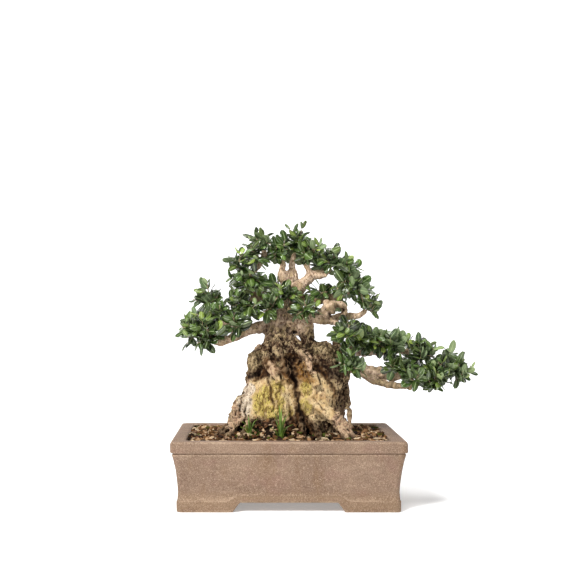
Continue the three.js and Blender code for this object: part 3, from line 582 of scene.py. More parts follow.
# and others down its back, as rows of x, height and radius
BACK_CORDS = [
    [(-12, 228, 5), (-22, 208, 7), (-30, 190, 8), (-33, 166, 7), (-36, 142, 6), (-44, 116, 6), (-54, 92, 5)],
    [(-4, 226, 5), (-7, 206, 6), (-10, 184, 6), (-13, 158, 7), (-9, 132, 6), (-16, 106, 6), (-22, 88, 5)],
    [(10, 198, 5), (15, 182, 7), (20, 156, 7), (17, 130, 7), (24, 106, 6), (30, 88, 5)],
    [(33, 198, 6), (38, 178, 8), (41, 150, 8), (48, 122, 7), (58, 96, 6)],
    [(46, 202, 6), (53, 192, 8), (60, 172, 8), (62, 146, 7), (67, 120, 6), (76, 96, 5)],
]
wood = bmesh.new()
wood.from_mesh(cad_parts["trunk"].data)
skin = BVHTree.FromBMesh(wood)


def lie_behind(rows):
    """A cord's rows of point and radius, half sunk in the back of the stump."""
    hits = [(x, skin.ray_cast(place(x, 200, z), Vector((0, -1, 0)))[0], z, radius) for x, z, radius in rows]
    knots = [(x, hit.y * 1000 - 0.2 * radius, z, radius) for x, hit, z, radius in hits if hit]
    return Path(knots).rows(CORD_GAP)


VOXEL = 0.00155  # fine enough for the relief, and under 200,000 triangles
lines = [limb_line(name) for name in LIMBS if name not in ("neck", "strand")]
lines += [Path(rows).rows(CORD_GAP) for rows in CORDS]
lines += [lie_behind(rows) for rows in BACK_CORDS]
wood.from_mesh(stems("limbs", lines, 14))
bmesh.ops.remove_doubles(wood, verts=wood.verts[:], dist=1e-6)
trunk = add_object("olive_wood", new_mesh("olive_wood", wood))
remesh = trunk.modifiers.new("remesh", "REMESH")
remesh.mode, remesh.voxel_size = "VOXEL", VOXEL
smooth = trunk.modifiers.new("smooth", "SMOOTH")
smooth.factor, smooth.iterations = 0.5, 8
wood_mesh = settle(trunk)


def patch(x, z, *ovals):
    """How far a place on the face lies inside any of some ovals of x, z, half width, half height."""
    return max(1 - math.hypot((x - ox) / rx, (z - oz) / rz) for ox, oz, rx, rz in ovals)


def groove(x, z, line):
    """Depth share of a crack down the face, along rows of z, x, half width, depth, with z falling."""
    for one, two in zip(line, line[1:]):
        if two[0] <= z <= one[0]:
            share = (one[0] - z) / (one[0] - two[0])
            middle, width, depth = (a + (b - a) * share for a, b in zip(one[1:], two[1:]))
            return depth * math.exp(-((x - middle) / width) ** 2)
    return 0


# the cleft down the middle of the face, and the finer furrows
CLEFT = [
    (198, 6, 9, 0.3), (190, 3, 11, 1), (180, 3, 9, 1), (170, 6, 7, 1), (162, 9, 5.5, 1), (155, 12, 4.5, 0.9),
    (148, 14, 4, 0.6), (138, 13, 3.5, 0.6), (130, 14, 4, 0.9), (120, 17, 5, 1), (108, 21, 8, 1),
    (88, 25, 10, 1),
]
FURROWS = [
    [(166, -28, 2, 0.6), (152, -23, 3.2, 1), (138, -21, 3.2, 1), (122, -19, 2.4, 0.5)],
    [(158, -10, 2, 0.3), (146, -13, 2.2, 0.8), (126, -11, 2, 0.3)],
    [(138, -2, 2, 0.2), (124, 2, 3, 0.8), (106, 6, 3, 1)],
    [(192, -20, 3, 0.8), (180, -17, 3, 0.8), (166, -8, 2, 0.4)],
    [(192, -26, 3, 0.8), (180, -28, 3.4, 1), (168, -30, 5, 1), (160, -42, 4, 0.6)],
    [(186, 37, 4, 0.8), (176, 44, 5, 1), (162, 55, 4, 1), (146, 62, 3, 0.8), (126, 60, 2, 0.4)],
    [(142, 34, 2, 0.4), (132, 42, 2, 0.7), (124, 48, 2.4, 0.6)],
    [(152, -50, 2, 0.4), (136, -60, 2.4, 0.8), (116, -64, 2.4, 0.6)],
]
# patches of colour on the face, in ovals of x, z, half width and half height; the dark shadow zone is painted
# shadow, and the foot zone painted shade where the stump meets the mix
ZONES = {
    "lichen": [(-37, 134, 11, 22), (-28, 144, 12, 17), (-14, 152, 13, 15), (-12, 134, 9, 16),
               (-24, 122, 22, 12), (3, 121, 6, 10), (23, 128, 8, 16), (25, 152, 9, 13)],
    "cream": [(0, 139, 14, 20), (-8, 160, 12, 12), (38, 146, 30, 27), (30, 128, 20, 16), (50, 136, 16, 17),
              (-34, 138, 32, 30), (-2, 122, 12, 12), (46, 122, 20, 12)],
    "rosy": [(-18, 172, 9, 11), (-20, 183, 7, 8), (20, 195, 6, 8), (27, 186, 6, 9), (34, 177, 6, 8),
             (-50, 150, 9, 14), (-66, 120, 9, 16), (-76, 104, 8, 9), (74, 128, 6, 12), (66, 116, 18, 12),
             (76, 104, 16, 16), (86, 90, 14, 14), (-60, 112, 14, 12)],
    "chalk": [(-56, 128, 12, 17), (-52, 147, 10, 12)],
    "amber": [(17, 178, 9, 10), (21, 169, 10, 10), (28, 163, 10, 7), (2, 166, 7, 12)],
    "gloom": [(14, 191, 13, 8), (0, 181, 10, 14), (-30, 178, 7, 11), (-42, 168, 16, 8), (-34, 172, 12, 8),
              (60, 172, 20, 12), (46, 182, 13, 9), (28, 95, 13, 15), (-12, 190, 14, 6), (60, 250, 7, 4),
              (74, 256, 4, 5)],
    "olive": [(-43, 186, 17, 18), (44, 204, 26, 9), (70, 196, 20, 11), (140, 155, 50, 8), (64, 258, 17, 8)],
    "foot": [(-26, 96, 42, 18), (26, 92, 22, 18)],
}
# what the bark is coloured by at each point of the wood
FIELDS = (*ZONES, "hollow", "old", "bare", "split", "neck", "under", "behind")
WARP_SEED = 23  # noise_vector differs from run to run unless it is seeded
for key in FIELDS:
    wood_mesh.attributes.new(key, "FLOAT", "POINT")
layers = {key: wood_mesh.attributes[key].data for key in FIELDS}
normals = [vert.normal.copy() for vert in wood_mesh.vertices]
origin = place(0, 0, 0)
noise.seed_set(WARP_SEED)
for vert, normal in zip(wood_mesh.vertices, normals):
    spot = (vert.co - origin) * 1000
    x, y, z = spot

    # which part of the wood this is, and how far it faces forwards
    facing = ease(-normal.y, -0.2, 0.35) * ease(-y, -12, 2)
    behind = ease(y, -10, 14)
    stump = ease(240 - z, 0, 26) * ease(100 - x, 0, 22) * (1 - ease(z, 200, 208) * ease(-x, 34, 46))
    warped = spot + 4 * noise.noise_vector(spot / 12) + 2 * noise.noise_vector(spot / 4.5)
    share = {key: max(0, patch(warped.x, warped.z, *ovals)) * facing for key, ovals in ZONES.items()}
    bare = min(1, 2.6 * max(share["lichen"], share["cream"])) * (1 - min(1, 2 * share["gloom"]))
    crack = groove(warped.x, z, CLEFT) * facing
    furrow = max(groove(warped.x, z, line) for line in FURROWS) * facing

    # relief at several sizes, most of it drawn out along the grain
    flow = Vector((x, y, z * (0.65 - 0.3 * behind)))
    ridge = 1 - abs(noise.noise(flow / 6 + 0.3 * noise.noise_vector(spot / 13))) * 3.4
    coarse = noise.fractal(spot / 21, 0.8, 2, 3) * (1 + 0.4 * behind)
    fold = 1 - 2 * abs(noise.noise(Vector((x / 17, y / 17, z / 60)) + 0.3 * noise.noise_vector(spot / 30)))
    fine = noise.fractal(flow / 3.2, 0.7, 2.2, 3)
    crust = max(0, noise.noise(spot / 4.6) - 0.05) * (2.4 - 1.2 * behind)
    worn = noise.noise(Vector((x / 4.6, y / 9, z / 16)))

    # rough bark on the stump, smoother bare wood on its face, knobbly limbs that thin at the top
    move = stump * (1 - bare) * (1.3 * ridge + 2 * coarse + crust + 3 * (fold - 0.6) * behind)
    move += (0.4 + 0.9 * stump * (1 - 0.6 * bare)) * fine
    move += bare * (1.1 * worn + coarse - 0.5 * crust)
    move += (1 - stump) * (0.9 * noise.noise(spot / 7) + 0.5 * ridge) - 0.9 * ease(z, 258, 276)
    vert.co += normal * (move / 1000)

    # the hole beside the neck, two lobes that bulge forwards, and the cracks between them
    knothole = Vector((x - 15, 0, z - 213))
    vert.co += knothole.normalized() * (0.0034 * math.exp(-(knothole.length / 9) ** 2))
    lobe = 5 * ease(patch(x, z, (-24, 136, 38, 38)), 0, 0.6)
    lobe += 4 * ease(patch(x, z, (45, 140, 32, 32)), 0, 0.6)
    vert.co.y += facing * (7 * crack + 2.4 * furrow - lobe * stump) / 1000

    # under, how far the wood faces downwards, darkens the undersides as painted shade
    values = {key: inside - 0.6 * (1 - facing) for key, inside in share.items()}
    values.update(old=stump, bare=bare, hollow=0, split=max(crack, 0.8 * furrow), behind=behind,
                  neck=ease(28 - math.hypot(x + 8, (z - 238) * 0.9), 0, 14),
                  under=ease(-normal.z, -0.35, 0.75))
    for key, layer in layers.items():
        layer[vert.index].value = values[key]

# painted shade and dirt go where the wood is lower than what surrounds it, and a painted highlight where it
# is higher
wood_mesh.update()
level = bmesh.new()
level.from_mesh(wood_mesh)
for _ in range(10):
    bmesh.ops.smooth_vert(level, verts=level.verts[:], factor=0.5,
                          use_axis_x=True, use_axis_y=True, use_axis_z=True)
dips = wood_mesh.attributes["hollow"].data
for vert, soft in zip(wood_mesh.vertices, level.verts):
    depth = (soft.co - vert.co).dot(vert.normal)
    dips[vert.index].value = depth * (1000 - 650 * ease(vert.co.y, 0, 0.025))
level.free()

bark = Finish("olive_bark")
old, bare, hollow, split = (bark.attribute(key) for key in ("old", "bare", "hollow", "split"))
streak = bark.grain(520, 5, 0.7, stretch=(1, 1, 0.5))
flute = bark.grain(190, 4, 0.6, stretch=(1, 1, 0.3))
blotch = bark.grain(75, 4, 0.6)
scab = bark.grain(210, 3, 0.6)
grit = bark.grain(1100, 3, 0.7)
pits = bark.cells(300, stretch=(1, 1, 0.6)) + (grit - 0.5) * 0.5
# a paler brown for the back of the stump: partly a weathered tone and partly painted light, as little light
# reaches the back
weathered_back_and_painted_light = bark.coats(
    bark.mix(streak.ramp(0.36, 0.62), paint(54, 38, 26), paint(146, 118, 88)),
    (flute.ramp(0.5, 0.4) * 0.7, paint(40, 25, 15)))
stump_tint = bark.coats(
    bark.mix(streak.ramp(0.42, 0.7), paint(12, 6, 3), paint(84, 55, 34)),
    (blotch.ramp(0.46, 0.66) * 0.6, paint(54, 42, 24)),
    (grit.ramp(0.57, 0.66) * 0.75, paint(152, 114, 82)),
    (bark.attribute("behind") * 0.85, weathered_back_and_painted_light))
limb_tint = bark.coats(
    bark.mix(streak.ramp(0.36, 0.6), paint(134, 102, 78), paint(234, 210, 182)),
    (scab.ramp(0.55, 0.66) * 0.75, paint(86, 58, 38)),
    (blotch.ramp(0.52, 0.64) * 0.65, paint(84, 56, 36)),
    (bark.attribute("neck") * (0.45 + 0.5 * blotch.ramp(0.44, 0.56)), stump_tint))
olive = bark.mix(grit.ramp(0.42, 0.62), paint(52, 42, 24), paint(120, 106, 74))
rosy = bark.mix(streak.ramp(0.38, 0.58), paint(140, 102, 76), paint(212, 184, 154))
cream = bark.coats(
    bark.mix(blotch.ramp(0.35, 0.65), paint(190, 160, 110), paint(228, 206, 164)),
    (streak.ramp(0.5, 0.36) * 0.6, paint(150, 108, 62)),
    (flute.ramp(0.46, 0.36) * 0.5, paint(160, 118, 74)))
chalk = bark.mix(grit.ramp(0.42, 0.55), paint(172, 150, 124), paint(234, 222, 204))
lichen = bark.coats(
    bark.mix(grit.ramp(0.4, 0.58), paint(152, 132, 52), paint(214, 196, 114)),
    (streak.ramp(0.52, 0.4) * 0.9, paint(104, 82, 26)),
    (flute.ramp(0.5, 0.4) * 0.9, paint(84, 62, 20)),
    (blotch.ramp(0.56, 0.66) * 0.6, paint(222, 198, 146)))
amber = bark.mix(streak.ramp(0.4, 0.62), paint(78, 40, 10), paint(164, 120, 54))
# near black to dark brown for the foot of the stump, where it meets the mix: painted shade
foot_shade = bark.mix(grit.ramp(0.48, 0.66), paint(14, 8, 4), paint(96, 70, 46))


def spread(key, low=0.0, high=0.3, fray=0.6):
    """A zone's share, with its edge broken up by the grain."""
    return (bark.attribute(key) + (streak - 0.5) * fray + (blotch - 0.5) * fray).ramp(low, high)


# darker where the wood lies lower than around it: painted shade, with some dirt
shade_and_dirt = (hollow + (streak - 0.5) * 0.6).ramp(0.05, 0.75)
# lighter where the wood stands higher than around it: a painted highlight on the ridges
ridge_highlight = (hollow + (streak - 0.5) * 0.8).ramp(-0.2, -0.9)
tint = bark.coats(
    bark.mix(old, limb_tint, stump_tint),
    (spread("olive") * 0.8, olive),
    (spread("rosy") * 0.9, rosy),
    (spread("cream", 0.02, 0.24), cream),
    (spread("chalk") * 0.85, chalk),
    (spread("lichen", 0.05, 0.35, 1.1) * 0.92, lichen),
    (spread("amber", 0.0, 0.45) * 0.85, amber),
    (pits.ramp(0.27, 0.14) * 0.85, paint(62, 40, 18)),
    # painted shade at the foot of the stump
    (spread("foot", 0.1, 0.3, 0.9), foot_shade),
    # painted shadow in dark patches across the face
    (spread("gloom", 0.1, 0.5) * 0.9, paint(24, 12, 6)),
    # brown at the edges of the cleft and furrows and near black in them: painted shade in the cracks
    ((split + (streak - 0.5) * 0.7).ramp(0.0, 0.5) * 0.6, paint(104, 70, 36)),
    ((split + (streak - 0.5) * 0.5).ramp(0.35, 0.95) * 0.9, paint(26, 12, 5)),
    # painted shade on the undersides of the wood
    (bark.attribute("under") * (0.3 + 0.05 * old), paint(58, 36, 22)),
    # painted shade and dirt in the hollows
    (shade_and_dirt * (0.6 + 0.25 * old - 0.2 * bare), paint(28, 14, 7)),
    # painted highlight on the ridges
    (ridge_highlight * (0.34 - 0.2 * old + 0.1 * bare), paint(226, 194, 152)))
height = streak * 0.5 + grit * 0.3 + flute * 0.2 + pits.ramp(0, 0.25) * 0.3
bark.use(Base_Color=tint, Roughness=0.9, Specular_IOR_Level=0.15, Normal=bark.relief(height, 0.0026, 1.0))
wood_mesh.materials.append(bark.material)
put_in(trunk, "trunk")

# ---------------------------------------------------------------- planting mix
# The bed of dark mix that fills the pot. It is pressed in by hand, so its top is all clods; it
# mounds round the stump and dips in a hollow before it.
BED_X, BED_Y, BED_FLOOR = 131.3, 81.3, 19


def soil_level(x, y):
    """Height of the bed, with its mound, the bank at the stump's foot, the dip and the clods."""
    mound = 12 * math.exp(-((x - 2) ** 2) / 9800 - y ** 2 / 3400)
    mound += 17 * math.exp(-((x + 24) / 36) ** 4 - ((y + 44) / 13) ** 2)
    dip = 9 * math.exp(-((x - 29) ** 2) / 200 - ((y + 60) ** 2) / 200)
    clods = 1.1 * math.sin(x / 5.3 + 1.7 * math.sin(y / 7)) + 0.9 * math.sin(y / 4.7 + 1.4 * math.sin(x / 9))
    return 84.5 + mound - dip + clods


bed = bmesh.new()
bmesh.ops.create_grid(bed, x_segments=150, y_segments=94, size=1)
low = draw_out(bed, [e for e in bed.edges if e.is_boundary])[1]
for vert in bed.verts:
    x, y = vert.co.x * BED_X, vert.co.y * BED_Y
    if vert in low:
        vert.co = place(x * 0.975, y * 0.96, BED_FLOOR)
    else:
        rough = 1.6 * noise.fractal(Vector((x, y, 0)) / 6, 0.8, 2, 3)
        vert.co = place(x, y, soil_level(x, y) - 1.5 + rough)
bmesh.ops.contextual_create(bed, geom=[e for e in bed.edges if e.is_boundary])

mould = Finish("dark_mix_and_shade")
clod = mould.grain(700, 4, 0.7)
# the bed runs from near black to dark brown: partly the mix's own colour and partly painted shade in the gaps
# between the loose bits
mould.use(Base_Color=mould.mix(clod.ramp(0.45, 0.7), paint(10, 6, 4), paint(60, 42, 28)), Roughness=0.95,
          Specular_IOR_Level=0.1, Normal=mould.relief(clod, 0.0015, 0.8))
soil = add_object("mix_bed", new_mesh("mix_bed", bed, mould.material))
put_in(soil, "soil")

# ---------------------------------------------------------------- loose bits on the mix
# What lies loose on the bed: grains and lumps of pumice, fired clay and lava, flat chips of bark,
# and a little moss in the damp places.
TONES = [(14, 8, 5), (54, 34, 20), (104, 70, 42), (160, 122, 84), (226, 202, 166), (138, 112, 88),
         (94, 54, 30), (60, 80, 22)]
MOSS = 7  # the number of its tone
MOSSY = [(46, -40, 6), (50, -50, 5), (24, -46, 4), (-6, -60, 5), (-48, -58, 5), (70, 40, 9), (-40, 58, 12)]
BATCH = 50  # bits made in one bmesh, which slows down as it fills


def on_bed(draw):
    """A place on the bed outside the foot of the stump."""
    while True:
        x, y = draw.uniform(-128, 128), draw.uniform(-78, 78)
        if math.hypot((x - 1) / 62, (y - 4) / 40) > 1:
            return x, y


def in_moss(draw):
    """A place in one of the mossy spots, each x, y and size."""
    x, y, size = draw.choice(MOSSY)
    return x + draw.gauss(0, size), y + draw.gauss(0, size * 0.5)


def crumbs(smallest, largest, tones):
    """How to make round bits of such radii, in metres, and tones."""
    def make(shell, draw, where):
        radius = draw.uniform(smallest, largest)
        squash = Matrix.Diagonal((radius, radius * draw.uniform(0.65, 1), radius * draw.uniform(0.5, 0.9), 1))
        lift = Matrix.Translation((0, 0, radius * draw.uniform(-0.1, 0.9)))
        matrix = where @ lift @ squash
        verts = bmesh.ops.create_icosphere(shell, subdivisions=1, radius=1, matrix=matrix)["verts"]
        for vert in verts:
            vert.co += Vector([draw.uniform(-0.3, 0.3) * radius for _ in range(3)])
        return verts, draw.choice(tones)
    return make


def bark_chip(shell, draw, where):
    """One flat chip, a few millimetres long, with worn corners."""
    lengths = (draw.uniform(4, 12), draw.uniform(2.5, 6), draw.uniform(0.8, 2))
    squash = Matrix.Diagonal((*(n / 1000 for n in lengths), 1))
    lift = Matrix.Translation((0, 0, draw.uniform(0.0005, 0.003)))
    verts = bmesh.ops.create_cube(shell, size=1, matrix=where @ lift @ squash)["verts"]
    for vert in verts:
        vert.co += Vector([draw.uniform(-0.0003, 0.0003) * n for n in (3, 2, 1.5)])
    return verts, draw.choice((0, 0, 1, 1, 6, 6, 2, 2, 3, 3, 4))


def loose(count, seed, make, spots):
    """Many loose bits on the bed, in small batches, each drawn by make and turned at random."""
    draw = random.Random(seed)
    whole = bmesh.new()
    for _ in range(count // BATCH):
        shell = bmesh.new()
        tone = shell.verts.layers.float.new("tone")
        for _ in range(BATCH):
            x, y = spots(draw)
            spin = Matrix.Rotation(draw.uniform(0, 6.28), 4, "Z")
            spin @= Matrix.Rotation(draw.uniform(-1.1, 1.1), 4, "X")
            verts, number = make(shell, draw, Matrix.Translation(place(x, y, soil_level(x, y))) @ spin)
            shade = (number + draw.uniform(0.05, 0.9)) / len(TONES)
            for vert in verts:
                vert[tone] = shade
        part = new_mesh("part", shell, turn=False)
        whole.from_mesh(part)
        bpy.data.meshes.remove(part)
    return whole


gravel = Finish("loose_mix")
stops = [(i / len(TONES), paint(*tone)) for i, tone in enumerate(TONES)]
fleck = gravel.grain(1500, 3, 0.7)
tint = gravel.node("ValToRGB", {"stops": stops}, {"Fac": gravel.attribute("tone")})
tint = gravel.mix(fleck.ramp(0.5, 0.34) * 0.5, tint, paint(44, 32, 24))
gravel.use(Base_Color=tint, Roughness=0.92, Specular_IOR_Level=0.15, Normal=gravel.relief(fleck, 0.0006, 0.6))
BITS = {
    "loose_grains": (2600, crumbs(0.0008, 0.0022, (0, 0, 0, 0, 1, 1, 1, 2, 2, 3, 6)), on_bed),
    "loose_lumps": (1100, crumbs(0.002, 0.0042, (0, 0, 1, 1, 1, 1, 2, 2, 2, 3, 3, 4, 5, 6, 6)), on_bed),
    "bark_chips": (800, bark_chip, on_bed),
    "moss": (500, crumbs(0.0007, 0.0017, (MOSS,)), in_moss),
}
for name, (count, make, spots) in BITS.items():
    bits = add_object(name, new_mesh(name, loose(count, name, make, spots), gravel.material))
    for face in bits.data.polygons:
        face.use_smooth = False
    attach(bits, "root")

# ---------------------------------------------------------------- leafy sprays
# Sprays of small leathery olive leaves in crossed pairs on thin twigs: dark and glossy above, grey
# and matt below, yellow-green where they are young. Each spray is one grown shoot with its twigs.
HALF_WIDTH = 0.28  # of a blade one unit long


def leaf_blade(gutter, arch, twist):
    """A blade one unit long along +X with its face up: a thin closed shell, folded at the midrib."""
    shell = bmesh.new()
    shell.verts.layers.float.new("tone")
    shell.verts.layers.float.new("young")
    bmesh.ops.create_grid(shell, x_segments=6, y_segments=4, size=1)
    alongs, widths = (0, 0.11, 0.3, 0.53, 0.76, 0.92, 1), (0.06, 0.48, 0.86, 1, 0.9, 0.56, 0.1)
    for vert in shell.verts:
        step = round((vert.co.x + 1) * 3)
        vert.co = (alongs[step], vert.co.y * widths[step] * HALF_WIDTH, 0)
    bmesh.ops.recalc_face_normals(shell, faces=shell.faces[:])
    bmesh.ops.solidify(shell, geom=shell.faces[:], thickness=0.026)
    top = max(v.co.z for v in shell.verts)
    across = shell.loops.layers.uv.new("leaf")
    for face in shell.faces:
        for loop in face.loops:
            x, y, _ = loop.vert.co
            width = max(0.02, HALF_WIDTH * math.sin(math.pi * min(0.96, max(0.04, x))) ** 0.7)
            loop[across].uv = (x, y / width)
        face.material_index = 1 if all(v.co.z < top - 0.01 for v in face.verts) else 0
    for vert in shell.verts:
        x, y, z = vert.co
        vert.co.z = z + gutter * abs(y) - 1.1 * gutter * y * y / HALF_WIDTH + arch * x * x + twist * x * y
    return new_mesh("leaf", shell, turn=False)


LEAVES = [leaf_blade(0.5, -0.12, 0.2), leaf_blade(0.35, -0.3, -0.3), leaf_blade(0.7, 0.05, 0.1),
          leaf_blade(0.25, -0.45, 0)]


def leaf_finish(name, dark, mid, young, rough, coat):
    """One side of the leaves: a pale midrib and fine side veins on a tone of each leaf's own, partly at
    random and partly painted shade that darkens leaves further in along their twig.
    """
    leaf = Finish(name)
    tone, tender = leaf.attribute("tone"), leaf.attribute("young")
    on_leaf = leaf.node("UVMap", {"uv_map": "leaf"})
    along, side = leaf.part(on_leaf, 0), abs(leaf.part(on_leaf, 1))
    rib = side.ramp(0.14, 0.04)
    veins = (along * 46 - side * 9).sine().ramp(0.75, 1) * side.ramp(1, 0.5)
    cloud = leaf.grain(160, 3)
    tint = leaf.coats(
        leaf.mix((tone + (cloud - 0.5) * 0.5).ramp(0.15, 1), dark, mid),
        (tender, young),
        (veins * 0.14, paint(150, 172, 120)),
        (rib * (0.55 + 0.2 * tender), paint(176, 194, 140)))
    return leaf.use(Base_Color=tint, Roughness=rough + 0.12 * cloud, Coat_Weight=coat, Coat_Roughness=0.13,
                    Specular_IOR_Level=0.2,
                    Normal=leaf.relief(rib * 0.6 + veins * 0.15 + cloud * 0.3, 0.0006, 0.35))


upper = leaf_finish("leaf_face", paint(5, 18, 3), paint(66, 96, 35), paint(152, 172, 72), 0.3, 1.0)
lower = leaf_finish("leaf_back", paint(78, 96, 64), paint(142, 156, 118), paint(166, 182, 116), 0.6, 0.0)
twig = Finish("twig")
fibre = twig.grain(700, 4, 0.6, stretch=(1, 1, 0.5))
twig.use(Base_Color=twig.mix(fibre.ramp(0.4, 0.6), paint(112, 96, 74), paint(176, 158, 126)), Roughness=0.8,
         Normal=twig.relief(fibre, 0.0004, 0.5))

